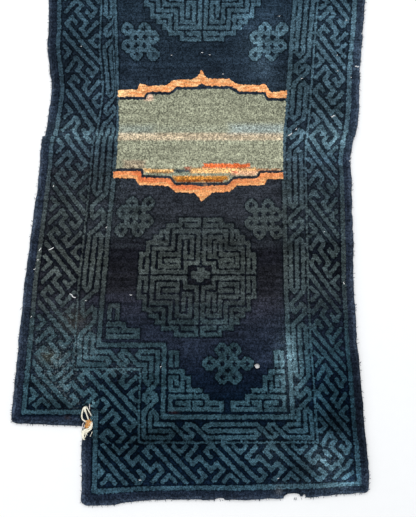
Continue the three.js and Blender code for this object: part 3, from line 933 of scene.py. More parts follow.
@dataclass
class WovenPanel:
    """One half of the rug: pile, knotted back and selvedge in one closed mesh."""

    plan: PanelPlan
    name: str
    node: str
    grid_step: float = 0.66  # knots between the pile's places
    rim_steps: tuple[float, ...] = (0, 0.16, 0.45, 0.85, 1.35, 1.95, 2.6)
    block: int = 2  # places of the pile to one facet of the back
    carving: float = 0.45  # mm that the light yarn stands higher
    tuft: float = 0.34  # mm of unevenness from tuft to tuft
    cut_round: float = 3.0  # mm over which the pile bends down at a hole or tear
    cut_bend: float = 5.0  # mm that it bends down there
    cut_least: float = 2.5  # mm, the least that is left of its height
    rim_plain: float = 5.0  # mm in from the edge over which carving and tufts begin
    selvedge_height: float = 2.0  # mm, of the fold between the pile and the back
    selvedge_unevenness: float = 0.85  # mm
    uneven_runs: tuple[int, int] = (5, 21)  # places that a fine and a coarse bump take
    pile_map: tuple[float, Point] = (0.74, (0.01, 0.01))  # share of the map, and its corner
    back_map: tuple[float, Point] = (0.22, (0.765, 0.01))

    def spread(self, low: float, high: float) -> list[float]:
        """Places between two limits: close together at each end and evenly between.

        Args:
            low: the first place.
            high: the last.

        Returns:
            The places, in knots.
        """
        reach = self.rim_steps[-1]
        count = round((high - low - 2 * reach) / self.grid_step)
        inner = [low + reach + (high - low - 2 * reach) * i / count for i in range(1, count)]
        return [low + s for s in self.rim_steps] + inner + [high - s for s in reversed(self.rim_steps)]

    def grid(self) -> tuple[Grid, Grid]:
        """The pile's columns and rows, in knots from the left selvedge and from the seam."""
        columns = self.spread(0, NOTCH_KNOT) + self.spread(NOTCH_KNOT, ALL_KNOTS)[1:]
        start = SEAM_TOUCH / KNOT
        rows = self.spread(start, NOTCH_END) + self.spread(NOTCH_END, HEM_KNOT)[1:]
        return np.array(columns), np.array(rows)

    @staticmethod
    def notch(columns: Grid, rows: Grid) -> tuple[int, int]:
        """The grid's row and column at the cut-out's inner corner."""
        return int(np.argmin(np.abs(rows - NOTCH_END))), int(np.argmin(np.abs(columns - NOTCH_KNOT)))

    def build(self, shift: Vector) -> Piece:
        """Builds the panel.

        Args:
            shift: from the middle of the seam to the part's origin, in millimetres.

        Returns:
            The finished piece, with its attributes, before any finish.
        """
        columns, rows = self.grid()
        x, y, depth = self.plan.place(columns, rows * KNOT)
        x, y = self._ragged(x, y, columns, rows)
        chart = Chart(columns, rows * self.plan.side.value)
        border_chart(chart)
        field_chart(chart)
        filled = np.ones((len(rows) - 1, len(columns) - 1), bool)
        notch_row, notch_column = self.notch(columns, rows)
        filled[notch_row:, :notch_column] = False
        away = np.full(x.shape, NO_DAMAGE)
        if self.plan.side is Side.LOWER:
            x, y, filled, away = self._cut(x, y, filled)
        z = self._height(x, y, depth, away, chart)
        places = np.stack([x, y, z], axis=-1)
        return self._mesh(places, filled, self._layers(chart, x, y, depth), shift)

    def dress(self, piece: Piece, pile: bpy.types.Material, back: bpy.types.Material) -> None:
        """Gives the piece its finishes: the pile, the selvedge and the back.

        Args:
            piece: the piece.
            pile: the finish of the pile and the selvedge.
            back: the back's finish.
        """
        for finish in (pile, pile, back):
            piece.data.materials.append(finish)
        bpy.ops.object.select_all(action="DESELECT")
        piece.select_set(True)
        bpy.context.view_layer.objects.active = piece
        bpy.ops.object.shade_smooth_by_angle(angle=math.radians(50))

    def _ragged(self, x: Grid, y: Grid, columns: Grid,
                rows: Grid) -> tuple[Grid, Grid]:
        """Makes the edges uneven, as hand-bound selvedges and worn hems are.

        Args:
            x: the places across.
            y: the places along.
            columns: the grid's columns.
            rows: its rows.

        Returns:
            The moved places.
        """
        random = np.random.default_rng(23 + self.plan.side.value)

        def uneven(count: int) -> Grid:
            """A smooth random line with the odd tuft that stands out."""
            fine, coarse = (np.convolve(random.normal(0, 1, count + run - 1), np.ones(run) / run, "valid")
                            for run in self.uneven_runs)
            return self.selvedge_unevenness * (fine + 1.6 * coarse)

        def beside(away: Grid) -> Grid:
            """1 on an edge, down to 0 two knots from it."""
            return np.clip(1 - away / 2, 0, 1)

        past_notch = beside(np.maximum(columns - NOTCH_KNOT, 0)) * (columns > NOTCH_KNOT - 0.01)
        far = beside(ALL_KNOTS - columns)
        left = np.where((rows > NOTCH_END + 0.01)[:, None], past_notch[None, :], beside(columns)[None, :])
        x = x + uneven(len(rows))[:, None] * left + uneven(len(rows))[:, None] * far[None, :]
        end = np.where((columns < NOTCH_KNOT - 0.01)[None, :], beside(np.abs(NOTCH_END - rows))[:, None],
                       beside(HEM_KNOT - rows)[:, None])
        return x, y + uneven(len(columns))[None, :] * end

    def _cut(self, x: Grid, y: Grid,
             filled: Grid) -> tuple[Grid, Grid, Grid, Grid]:
        """Takes the damage out of the grid, with the places beside it moved onto its outline.

        Args:
            x: the places across.
            y: the places along.
            filled: the grid's cells that there are.

        Returns:
            The moved places, the cells that are left, and each place's distance from the damage.
        """
        def corners(cells: Grid) -> Grid:
            """The grid's places that are a corner of one of these cells."""
            around = np.pad(cells, 1)
            return around[1:, 1:] | around[:-1, 1:] | around[1:, :-1] | around[:-1, :-1]

        away = np.full(x.shape, NO_DAMAGE)
        for outline in damage():
            depth = polygon_depth(outline, x, y)
            away = np.minimum(away, -depth)
            gone = (depth[:-1, :-1] + depth[1:, :-1] + depth[:-1, 1:] + depth[1:, 1:]) > 0
            filled &= ~gone
            rim = corners(filled) & corners(gone) & (np.abs(depth) < CUT_REACH)
            for row, column in zip(*np.nonzero(rim)):
                x[row, column], y[row, column] = self._onto(outline, x[row, column], y[row, column])
        return x, y, filled, np.maximum(away, 0)

    @staticmethod
    def _onto(outline: Points, x: float, y: float) -> Point:
        """The nearest place on an outline.

        Args:
            outline: the outline's corners.
            x: the place across.
            y: the place along.

        Returns:
            The place on the outline.
        """
        nearest, found = 1e9, (x, y)
        for (ax, ay), (bx, by) in zip(outline, outline[1:] + outline[:1]):
            dx, dy = bx - ax, by - ay
            t = min(max(((x - ax) * dx + (y - ay) * dy) / (dx * dx + dy * dy), 0), 1)
            px, py = ax + t * dx, ay + t * dy
            if math.dist((px, py), (x, y)) < nearest:
                nearest, found = math.dist((px, py), (x, y)), (px, py)
        return found

    def _height(self, x: Grid, y: Grid, depth: Grid, away: Grid,
                chart: Chart) -> Grid:
        """The pile's surface: the solid's form, the carving round the pattern and uneven tufts.

        Args:
            x: the places across.
            y: the places along.
            depth: the distance in from the edge.
            away: the distance from any damage.
            chart: the pattern.

        Returns:
            The heights.
        """
        z = pile_height(depth, x, np.abs(chart.along[:, None]) * KNOT)
        inward = smoothstep(depth, 0, self.rim_plain) * smoothstep(away, 0, self.cut_round)
        raised = self.carving * (smoothstep(chart.light, -0.5, 0.5) - 0.5)
        tufts = np.random.default_rng(3 + self.plan.side.value).normal(0, 1, z.shape)
        tufts = np.clip(tufts, -2, 2) * self.tuft * 0.5
        bend = self.cut_bend * (1 - smoothstep(away, 0, self.cut_round))
        z = np.maximum(z - bend, self.cut_least) + (raised + tufts) * inward
        if self.plan.side is Side.LOWER:
            sunk = smoothstep(polygon_depth(TEAR_PLACES, x, y), -1.5, 2.0)
            z = z * (1 - sunk) + (TEAR_FLOOR + tufts) * sunk
        return z

    def _layers(self, chart: Chart, x: Grid, y: Grid, depth: Grid) -> dict[str, Grid]:
        """What the finishes read at each place, in millimetres or as shares.

        Args:
            chart: the pattern.
            x: the places across.
            y: the places along.
            depth: the distance in from the edge.

        Returns:
            Named arrays over the grid; the dye has four channels.
        """
        across, along = chart.across[None, :], chart.along[:, None]
        opening = polygon_depth(SEAT_OPENING, across, along)
        seat = np.minimum(opening - SEAT_LINE, np.minimum(across - SEAT_LEFT, SEAT_RIGHT - across))
        salmon = np.maximum(polygon_depth(UPPER_SALMON, across, along),
                            polygon_depth(LOWER_SALMON, across, along))
        dye = np.zeros(x.shape + (4,))
        noise = np.random.default_rng(11).random(x.shape) - 0.5
        for streak in SEAT_STREAKS:
            inside = np.minimum(np.minimum(across - streak.left, streak.right - across) * 0.5,
                                np.minimum(along - streak.low, streak.high - along))
            inside = inside + STREAK_RAGGED * noise
            cover = streak.strength * smoothstep(inside, -streak.soft, streak.soft)
            dye = self._dyed(dye, linear(streak.colour), cover * smoothstep(seat, -0.25, 0.2))
        if self.plan.side is Side.LOWER:
            bare = smoothstep(polygon_depth(TEAR_PLACES, x, y), -1.0, 1.5)
            dye = self._dyed(dye, linear(TEAR_COLOUR), 0.85 * bare)
        for stain in STAINS:
            far = ((x - stain.x) / stain.reach_x) ** 2 + ((y - stain.y) / stain.reach_y) ** 2
            cover = stain.amount * np.exp(-far) * (0.7 + 0.6 * noise)
            dye = self._dyed(dye, linear(stain.colour), cover)
        wear_and_sheen = np.zeros(x.shape)
        for patch in WORN_AND_SHEEN_PATCHES:
            wear_and_sheen = np.maximum(wear_and_sheen, patch.over(x, y))
        # Places painted paler or darker, with the painted highlight on the seam's ridge and the right
        # selvedge's top
        shade = np.maximum(sum((patch.over(x, y) for patch in SHADES), np.ones(x.shape)), DARKEST_SHADE)
        # Painted sheen along the seam's ridge, in the same layer as the worn places
        wear_and_sheen = np.maximum(wear_and_sheen, SEAM_SHEEN * np.exp(-((np.abs(along) * KNOT / SEAM_SHEEN_REACH) ** 2)))
        seat, salmon = (np.clip(v, -SEAT_REACH, SEAT_REACH) * KNOT_MEAN for v in (seat, salmon))
        return {"light": chart.light * KNOT_MEAN, "seat": seat, "salmon": salmon,
                "rim": np.minimum(depth, RIM_REACH), "wear_and_sheen": wear_and_sheen, "shade": shade, "dye": dye}

    @staticmethod
    def _dyed(dye: Grid, colour: tuple[float, ...], cover: Grid) -> Grid:
        """Lays one dye over those that are there.

        Args:
            dye: colour and cover over the grid.
            colour: the dye's linear colour.
            cover: how much of it there is.

        Returns:
            The new colour and cover.
        """
        before = dye[..., 3] * (1 - cover)
        total = before + cover
        share = (cover / np.maximum(total, 1e-6))[..., None]
        return np.concatenate([dye[..., :3] * (1 - share) + np.array(colour[:3]) * share, total[..., None]],
                              axis=-1)

    def _mesh(self, places: Grid, filled: Grid, layers: dict[str, Grid],
              shift: Vector) -> Piece:
        """Joins pile, selvedge and back into one closed mesh with its attributes and its map.

        Args:
            places: the pile's places, in millimetres from the middle of the seam.
            filled: the cells of the grid that there are.
            layers: what the finishes read at each place.
            shift: from the middle of the seam to the part's origin.

        Returns:
            The piece.
        """
        count_rows, count_columns = places.shape[:2]
        count = count_rows * count_columns
        flip = self.plan.side is Side.UPPER
        padded = np.pad(filled, 1)
        faces: list[tuple[int, ...]] = []
        kinds: list[int] = []

        def index(row: int, column: int, level: int = 0) -> int:
            """The mesh's number for a place: on the pile, halfway down the selvedge or on the back."""
            return level * count + row * count_columns + column

        def add(loop: list[int], kind: int) -> None:
            """Adds a face, wound for its side of the seam."""
            faces.append(tuple(reversed(loop)) if flip else tuple(loop))
            kinds.append(kind)

        for r, c in zip(*(v.tolist() for v in np.nonzero(filled))):
            add([index(r, c), index(r + 1, c), index(r + 1, c + 1), index(r, c + 1)], 0)
            walls = (
                (padded[r, c + 1], (r, c + 1), (r, c)),
                (padded[r + 2, c + 1], (r + 1, c), (r + 1, c + 1)),
                (padded[r + 1, c], (r, c), (r + 1, c)),
                (padded[r + 1, c + 2], (r + 1, c + 1), (r, c + 1)),
            )
            for beyond, a, b in walls:
                if not beyond:
                    add([index(*b), index(*a), index(*a, 1), index(*b, 1)], 1)
                    add([index(*b, 1), index(*a, 1), index(*a, 2), index(*b, 2)], 1)
        self._back(filled, index, add)
        levels = places[None, ..., :].repeat(3, axis=0)
        levels[1, ..., 2] = np.minimum(levels[0, ..., 2] * 0.5, self.selvedge_height)
        levels[2, ..., 2] = 0
        used = np.zeros(3 * count, bool)
        for face in faces:
            used[list(face)] = True
        keep = np.nonzero(used)[0]
        renumber = np.full(3 * count, -1)
        renumber[keep] = np.arange(len(keep))
        co = (levels.reshape(-1, 3)[keep] + np.array([shift.x, shift.y, 0])) * MM
        mesh = bpy.data.meshes.new(self.name)
        mesh.from_pydata(co.tolist(), [], [[int(renumber[i]) for i in face] for face in faces])
        for name, values in layers.items():
            coloured = values.ndim == 3
            data = mesh.attributes.new(name, "FLOAT_COLOR" if coloured else "FLOAT", "POINT")
            flat_values = np.concatenate([values.reshape(count, -1)] * 3)[keep]
            data.data.foreach_set("color" if coloured else "value", flat_values.astype(np.float32).ravel())
        mesh.polygons.foreach_set("material_index", kinds)
        self._map(mesh, kinds)
        piece = bpy.data.objects.new(self.name, mesh)
        bpy.context.scene.collection.objects.link(piece)
        mesh.validate()
        return piece

    def _back(self, filled: Grid, index: Callable[[int, int, int], int],
              add: Callable[[list[int], int], None]) -> None:
        """Covers the back with facets of several knots, and with small ones where a cut needs them.

        Args:
            filled: the cells of the grid that there are.
            index: gives the mesh's number for a row, a column and a level.
            add: adds a face of a kind.
        """
        size, cells = self.block, filled.shape
        block_rows, block_columns = -(-cells[0] // size), -(-cells[1] // size)
        whole = np.zeros((block_rows + 2, block_columns + 2), bool)
        for i in range(block_rows):
            for j in range(block_columns):
                part = filled[i * size:(i + 1) * size, j * size:(j + 1) * size]
                whole[i + 1, j + 1] = part.shape == (size, size) and bool(part.all())
        for i in range(block_rows):
            for j in range(block_columns):
                r0, c0 = i * size, j * size
                if not whole[i + 1, j + 1]:
                    for r in range(r0, min(r0 + size, cells[0])):
                        for c in range(c0, min(c0 + size, cells[1])):
                            if filled[r, c]:
                                add([index(r, c, 2), index(r, c + 1, 2), index(r + 1, c + 1, 2),
                                     index(r + 1, c, 2)], 2)
                    continue
                loop: list[int] = []
                sides = (
                    ((r0, c0), (0, 1), (i, j + 1)),
                    ((r0, c0 + size), (1, 0), (i + 1, j + 2)),
                    ((r0 + size, c0 + size), (0, -1), (i + 2, j + 1)),
                    ((r0 + size, c0), (-1, 0), (i + 1, j)),
                )
                for (r, c), (down, right), beyond in sides:
                    steps = 1 if whole[beyond] else size
                    loop += [index(r + down * k, c + right * k, 2) for k in range(steps)]
                add(loop, 2)

    def _map(self, mesh: bpy.types.Mesh, kinds: list[int]) -> None:
        """Lays the piece's own map flat: the pile large, and the back small beside it.

        Args:
            mesh: the piece's mesh.
            kinds: each face's kind, 2 for the back.
        """
        layer = mesh.uv_layers.new(name="OFBake")
        corners = np.empty(len(mesh.loops), np.int32)
        mesh.loops.foreach_get("vertex_index", corners)
        co = np.empty(len(mesh.vertices) * 3, np.float32)
        mesh.vertices.foreach_get("co", co)
        co = co.reshape(-1, 3)
        low, high = co.min(0), co.max(0)
        place = (co - low) / (high - low).max()
        totals = np.empty(len(mesh.polygons), np.int32)
        mesh.polygons.foreach_get("loop_total", totals)
        back = np.repeat(np.array(kinds), totals) == 2
        (pile_size, pile_corner), (back_size, back_corner) = self.pile_map, self.back_map
        flat = place[corners][:, :2]
        uv = np.where(back[:, None], flat * back_size + np.array(back_corner),
                      flat * pile_size + np.array(pile_corner))
        layer.data.foreach_set("uv", uv.astype(np.float32).ravel())


def per_metre(size: float) -> float:
    """How many of a size in millimetres lie in a metre, which is what a pattern's scale counts."""
    return 1000 / size


class Step(Enum):
    """What a node works out: its type, its settings, the inputs that values fill, and its output."""

    PLACE = ("TexCoord", {}, (), "Object")
    ACROSS = ("SeparateXYZ", {}, ("Vector",), 0)
    ALONG = ("SeparateXYZ", {}, ("Vector",), 1)
    CELL = ("VectorMath", {"operation": "SNAP"}, (0, 1), 0)
    CHANCE = ("TexWhiteNoise", {}, ("Vector",), 0)
    STRETCH = ("Mapping", {}, ("Vector", "Scale"), 0)
    NOISE = ("TexNoise", {}, ("Vector", "Scale", "Detail", "Roughness"), 0)
    TUFTS = ("TexVoronoi", {"feature": "SMOOTH_F1"}, ("Vector", "Scale", "Smoothness", "Randomness"), 0)
    ROWS = ("TexWave", {"bands_direction": "Y"}, ("Vector", "Scale", "Distortion"), 1)
    READ = ("Attribute", {}, (), "Fac")
    READ_COLOUR = ("Attribute", {}, (), "Color")
    READ_COVER = ("Attribute", {}, (), "Alpha")
    SUM = ("Math", {"operation": "ADD"}, (0, 1), 0)
    DIFFERENCE = ("Math", {"operation": "SUBTRACT"}, (0, 1), 0)
    PRODUCT = ("Math", {"operation": "MULTIPLY"}, (0, 1), 0)
    SCALE_ADD = ("Math", {"operation": "MULTIPLY_ADD"}, (0, 1, 2), 0)
    EASE = ("MapRange", {"interpolation_type": "SMOOTHSTEP"},
            ("Value", "From Min", "From Max", "To Min", "To Max"), 0)
    RAMP = ("ValToRGB", {}, ("Fac",), 0)
    GREY = ("CombineColor", {}, ("Red", "Green", "Blue"), 0)
    BLEND = ("Mix", {"data_type": "RGBA", "blend_type": "MIX"}, (0, 6, 7), 2)
    TINT = ("Mix", {"data_type": "RGBA", "blend_type": "MULTIPLY"}, (0, 6, 7), 2)
    BUMP = ("Bump", {}, ("Strength", "Distance", "Height"), 0)
    SURFACE = ("BsdfPrincipled", {}, ("Base Color", "Roughness", "Normal", "IOR", "Specular IOR Level"), 0)
    OUTPUT = ("OutputMaterial", {}, ("Surface",), None)


NodeRows = tuple[tuple[object, ...], ...]


class Graph:
    """A material's nodes while it is being made, with each result kept by its name."""

    def __init__(self, name: str) -> None:
        """Starts an empty material."""
        self.material = bpy.data.materials.new(name)
        self.material.use_nodes = True
        self.tree = self.material.node_tree
        self.tree.nodes.clear()
        self.results: dict[str, bpy.types.NodeSocket] = {}

    def add(self, gives: str, step: Step, *values: object, **settings: object) -> bpy.types.Node:
        """Adds a node with its settings and links.

        Args:
            gives: the name that its result is kept by.
            step: what the node works out.
            values: its inputs in the step's order: a number, a hex colour or an earlier result's name.
            settings: the settings that this node has beside its step's.

        Returns:
            The new node.
        """
        kind, shared, names, output = step.value
        node = self.tree.nodes.new("ShaderNode" + kind)
        for setting, choice in {**shared, **settings}.items():
            setattr(node, setting, choice)
        for name, value in zip(names, values):
            if not isinstance(value, str):
                node.inputs[name].default_value = value
            elif value.startswith("#"):
                node.inputs[name].default_value = linear(value)
            else:
                self.tree.links.new(self.results[value], node.inputs[name])
        if output is not None:
            self.results[gives] = node.outputs[output]
        return node

    def add_rows(self, rows: NodeRows) -> None:
        """Adds a node for each row: what it gives, its step and its values."""
        for gives, step, *values in rows:
            self.add(gives, step, *values)


# The wool's patterns in millimetres, or across and along the rug. Real fibres of 0.03 mm are too fine to
# show, so they are drawn as clumps of 2 mm.
FIBRE_CLUMP = 2.08333
TUFT = 3.44828
LINT_FLECK = 3.0303
YARN_WAVER = 6.66667
MOTTLE = 21.739
BLOTCH = 71.4286
DYE_STREAK = (333.333, 23.8095)
KNOT_ROW = (16.6667, 3.44828)
ABRASH = (90.9091, 4.34783)
KNOT_ACROSS = 3.4
LOT_REACH = 650.0  # from the seam to where the dye lots' table ends


@dataclass(frozen=True)
class PileWool:
    """Hand-spun wool in cut pile: indigo ground and a paler blue-green pattern, both uneven in their dye.

    The eye sees soft tufts a knot wide with painted shade between them, a dark line of painted shade where
    the ground yarn sinks beside the pattern, bands of slightly different dye lots along the rug, worn places
    where the pale base of the yarn shows, and a painted sheen along the seam's ridge.
    """

    name: str = "Knotted wool pile, indigo dyed"
    # Near-black painted shade of the grooves beside the pattern, also the dark flecks' colour
    groove_shade_and_fleck: str = "#02070f"
    edge_cord: str = "#3d4858"
    edge_band: str = "#222b39"
    # The worn colours, which also paint the sheen along the seam's ridge
    worn_and_sheen_ground: str = "#243039"
    worn_and_sheen_pattern: str = "#567079"
    fleck: str = "#93a1a3"
    khaki: str = "#808370"
    khaki_pale: str = "#9b9c85"
    salmon: str = "#df925a"
    salmon_pale: str = "#f5c48c"
    salmon_deep: str = "#cf6038"
    blue_tint: tuple[float, ...] = (0.9, 1.04, 1.13, 1.0)
    rough: float = 0.96
    ior: float = 1.45
    specular: float = 0.03
    # The dye lots, from the lower end of the rug to its upper end: place in mm along the rug, ground, pattern
    lots: tuple[tuple[float, str, str], ...] = (
        (-640, "#122032", "#324b58"), (-560, "#071524", "#2f4854"), (-470, "#0a1726", "#2f4852"),
        (-430, "#101a29", "#2d4650"), (-385, "#1f2735", "#2f444c"), (-330, "#212631", "#303d41"),
        (-300, "#292b35", "#32393b"), (-280, "#25262c", "#353c3d"), (-266, "#15161b", "#373e3e"),
        (-246, "#202126", "#3d4444"), (-226, "#16171d", "#3f4644"), (-200, "#18191f", "#3b4141"),
        (-182, "#262a2f", "#3a4142"), (-130, "#2a2d33", "#394142"), (-60, "#2b2f36", "#38444a"),
        (0, "#212a35", "#3b4e5a"), (60, "#212d3a", "#324656"), (130, "#1d2e3d", "#2d4656"),
        (230, "#112a3d", "#3a5c6b"), (640, "#192d3b", "#304e5d"),
    )
    back: bool = False

    def material(self) -> bpy.types.Material:
        """The finished material."""
        graph = Graph(self.name)
        for layer in ("light", "seat", "salmon", "rim", "wear_and_sheen", "shade"):
            graph.add(layer, Step.READ, attribute_name=layer)
        graph.add("dye", Step.READ_COLOUR, attribute_name="dye")
        graph.add("dye_cover", Step.READ_COVER, attribute_name="dye")
        graph.add_rows(self._unevenness())
        for column, gives in ((1, "ground_lot"), (2, "pattern_lot")):
            ramp = graph.add(gives, Step.RAMP, "lot_place").color_ramp
            for k, lot in enumerate(self.lots):
                stop = ramp.elements[k] if k < 2 else ramp.elements.new(0.5)
                stop.position = (lot[0] + LOT_REACH) / (2 * LOT_REACH)
                stop.color = linear(lot[column])
        for rows in (self._pattern(), self._wear(), self._seat(), self._tone(), self._relief()):
            graph.add_rows(rows)
        graph.add_rows((
            ("normal", Step.BUMP, 0.7, 0.0012, "relief"),
            ("surface", Step.SURFACE, "wool", self.rough, "normal", self.ior, self.specular),
            ("output", Step.OUTPUT, "surface"),
        ))
        return graph.material

    @staticmethod
    def _unevenness() -> NodeRows:
        """Chance values for each knot, the fibres, streaks and blotches, and the place in the dye lots."""
        stretches = {name: (per_metre(across), per_metre(along), 1.0) for name, (across, along) in
                     (("streaks", DYE_STREAK), ("rows", KNOT_ROW), ("bands", ABRASH))}
        return (
            ("place", Step.PLACE),
            ("across", Step.ACROSS, "place"),
            ("along", Step.ALONG, "place"),
            ("cell", Step.CELL, "place", (KNOT_ACROSS * MM, KNOT * MM, 1.0)),
            ("knot", Step.CHANCE, "cell"),
            ("fuzz", Step.NOISE, "place", per_metre(FIBRE_CLUMP), 2.0, 0.6),
            ("waver", Step.NOISE, "place", per_metre(YARN_WAVER), 1.0),
            ("flecks", Step.NOISE, "place", per_metre(LINT_FLECK), 2.0),
            ("streaks", Step.STRETCH, "place", stretches["streaks"]),
            ("streak", Step.NOISE, "streaks", 1.6, 3.0, 0.6),
            ("rows", Step.STRETCH, "place", stretches["rows"]),
            ("row", Step.NOISE, "rows", 1.0, 2.0),
            ("bands", Step.STRETCH, "place", stretches["bands"]),
            ("abrash", Step.NOISE, "bands", 1.0, 2.0),
            ("blotch", Step.NOISE, "place", per_metre(BLOTCH), 2.0),
            ("mottle", Step.NOISE, "place", per_metre(MOTTLE), 3.0, 0.55),
            ("lot_waver", Step.SCALE_ADD, "streak", 0.09, -0.045),
            ("lot_line", Step.SUM, "along", "lot_waver"),
            ("lot_place", Step.SCALE_ADD, "lot_line", 1 / (2 * LOT_REACH * MM), 0.5),
        )

    def _pattern(self) -> NodeRows:
        """The ground's and the pattern's wool, the painted shade of the grooves between them and the band
        along the edges.
        """
        return (
            ("uneven_knot", Step.SCALE_ADD, "knot", 1.3, -0.65),
            ("uneven_line", Step.SCALE_ADD, "waver", 2.6, -1.3),
            ("ragged", Step.SUM, "uneven_knot", "uneven_line"),
            ("ragged_light", Step.SUM, "light", "ragged"),
            ("pattern", Step.EASE, "ragged_light", -0.7, 0.7),
            # Painted shade: beside the pattern the ground darkens towards near-black, as in a groove
            ("near_pattern", Step.EASE, "light", -5.0, -0.5),
            ("sunk", Step.PRODUCT, "near_pattern", 0.72),
            ("groove_shaded", Step.BLEND, "sunk", "ground_lot", self.groove_shade_and_fleck),
            ("cord_line", Step.SCALE_ADD, "waver", 8.0, "rim"),
            ("past_cord", Step.EASE, "cord_line", 8.0, 13.0),
            ("edge", Step.BLEND, "past_cord", self.edge_cord, self.edge_band),
            ("on_edge", Step.EASE, "rim", 14.0, 19.0, 0.8, 0.0),
            ("ground", Step.BLEND, "on_edge", "groove_shaded", "edge"),
            ("dyed", Step.BLEND, "pattern", "ground", "pattern_lot"),
            ("to_right", Step.EASE, "across", 0.13, 0.23),
            ("to_lower", Step.EASE, "along", 0.05, -0.05),
            ("lower_right", Step.PRODUCT, "to_right", "to_lower"),
            ("past_edge", Step.EASE, "rim", 13.0, 18.0),
            ("bluer", Step.PRODUCT, "lower_right", "past_edge"),
            ("blued", Step.TINT, 1.0, "dyed", self.blue_tint),
            ("new_wool", Step.BLEND, "bluer", "dyed", "blued"),
        )

    def _wear(self) -> NodeRows:
        """The worn places and the painted sheen along the seam's ridge, the matted wool with its pale and
        dark flecks, and the uneven bands of dye.
        """
        return (
            ("wear_blotch", Step.EASE, "blotch", 0.3, 0.7, 0.55, 1.1),
            # The worn places and the painted sheen along the seam's ridge
            ("worn", Step.PRODUCT, "wear_and_sheen", "wear_blotch"),
            ("worn_and_sheen_base", Step.BLEND, "pattern", self.worn_and_sheen_ground, self.worn_and_sheen_pattern),
            ("worn_and_sheen_wool", Step.BLEND, "worn", "new_wool", "worn_and_sheen_base"),
            ("matted_left", Step.EASE, "across", 0.0, -0.17, 0.25, 1.0),
            ("matted_low", Step.EASE, "along", -0.02, -0.08, 0.2, 1.0),
            ("matted_part", Step.PRODUCT, "matted_left", "matted_low"),
            ("matted", Step.PRODUCT, "worn", "matted_part"),
            ("pale_fleck", Step.EASE, "flecks", 0.5, 0.66, 0.0, 0.45),
            ("pale_cover", Step.PRODUCT, "matted", "pale_fleck"),
            ("flecked", Step.BLEND, "pale_cover", "worn_and_sheen_wool", self.fleck),
            # The dark flecks take the groove's painted-shade black
            ("dark_fleck", Step.EASE, "flecks", 0.5, 0.36, 0.0, 0.45),
            ("dark_cover", Step.PRODUCT, "matted", "dark_fleck"),
            ("pitted", Step.BLEND, "dark_cover", "flecked", self.groove_shade_and_fleck),
            ("band_level", Step.EASE, "abrash", 0.32, 0.68, 0.8, 1.22),
            ("mottle_level", Step.EASE, "mottle", 0.33, 0.67, 0.8, 1.23),
            ("level", Step.PRODUCT, "band_level", "mottle_level"),
            ("level_grey", Step.GREY, "level", "level", "level"),
            ("field_wool", Step.TINT, 1.0, "pitted", "level_grey"),
        )

    def _seat(self) -> NodeRows:
        """The khaki seat with its salmon outlines, and over all of it the streaks, stains and tear."""
        return (
            ("khaki_low", Step.EASE, "along", 0.0, -0.02, 0.0, 0.3),
            ("khaki_row", Step.SUM, "row", "khaki_low"),
            ("khaki", Step.BLEND, "khaki_row", self.khaki, self.khaki_pale),
            ("seat_line", Step.SUM, "seat", "ragged"),
            ("on_seat", Step.EASE, "seat_line", -0.5, 0.5),
            ("seated", Step.BLEND, "on_seat", "field_wool", "khaki"),
            ("to_left", Step.EASE, "across", -0.11, -0.17),
            ("to_upper", Step.EASE, "along", 0.0, 0.02),
            ("upper_left", Step.PRODUCT, "to_left", "to_upper"),
            ("paler", Step.PRODUCT, "upper_left", 0.36),
            ("salmon_row", Step.SUM, "row", "paler"),
            ("salmon_level", Step.EASE, "salmon_row", 0.4, 0.68),
            ("salmon_rows", Step.BLEND, "salmon_level", self.salmon, self.salmon_pale),
            ("inner_side", Step.EASE, "seat_line", -14.0, -11.5),
            ("deep_blotch", Step.EASE, "blotch", 0.35, 0.6, 1.0, 0.45),
            ("deep_side", Step.PRODUCT, "inner_side", "deep_blotch"),
            ("deep_low", Step.EASE, "along", 0.02, -0.05, 0.15, 0.75),
            ("deep", Step.PRODUCT, "deep_side", "deep_low"),
            ("salmon_low", Step.EASE, "along", 0.0, -0.02, 0.0, 0.4),
            ("salmon_even", Step.BLEND, "salmon_low", "salmon_rows", self.salmon),
            ("salmon_wool", Step.BLEND, "deep", "salmon_even", self.salmon_deep),
            ("salmon_line", Step.SUM, "salmon", "ragged"),
            ("on_salmon", Step.EASE, "salmon_line", -0.5, 0.5),
            ("outlined", Step.BLEND, "on_salmon", "seated", "salmon_wool"),
            ("stained", Step.BLEND, "dye_cover", "outlined", "dye"),
        )

    @staticmethod
    def _tone() -> NodeRows:
        """Each knot a little darker or lighter than the next, partly painted shade between the tufts and
        partly the wool's own uneven dye, and less so on the salmon.
        """
        return (
            # The knot and fibre tones are partly painted shade between the tufts
            ("knot_tone", Step.SCALE_ADD, "knot", 0.66, 0.67),
            ("fibre_tone", Step.EASE, "fuzz", 0.34, 0.66, 0.42, 1.65),
            ("tuft_tone", Step.PRODUCT, "knot_tone", "fibre_tone"),
            ("shaded", Step.PRODUCT, "tuft_tone", "shade"),
            ("streak_tone", Step.EASE, "streak", 0.3, 0.7, 0.82, 1.16),
            ("uneven_tone", Step.PRODUCT, "shaded", "streak_tone"),
            ("even", Step.PRODUCT, "on_salmon", 0.4),
            ("uneven", Step.DIFFERENCE, 1.0, "even"),
            ("tone_left", Step.PRODUCT, "uneven_tone", "uneven"),
            ("tone", Step.SUM, "tone_left", "even"),
            ("tone_grey", Step.GREY, "tone", "tone", "tone"),
            ("wool", Step.TINT, 1.0, "stained", "tone_grey"),
        )

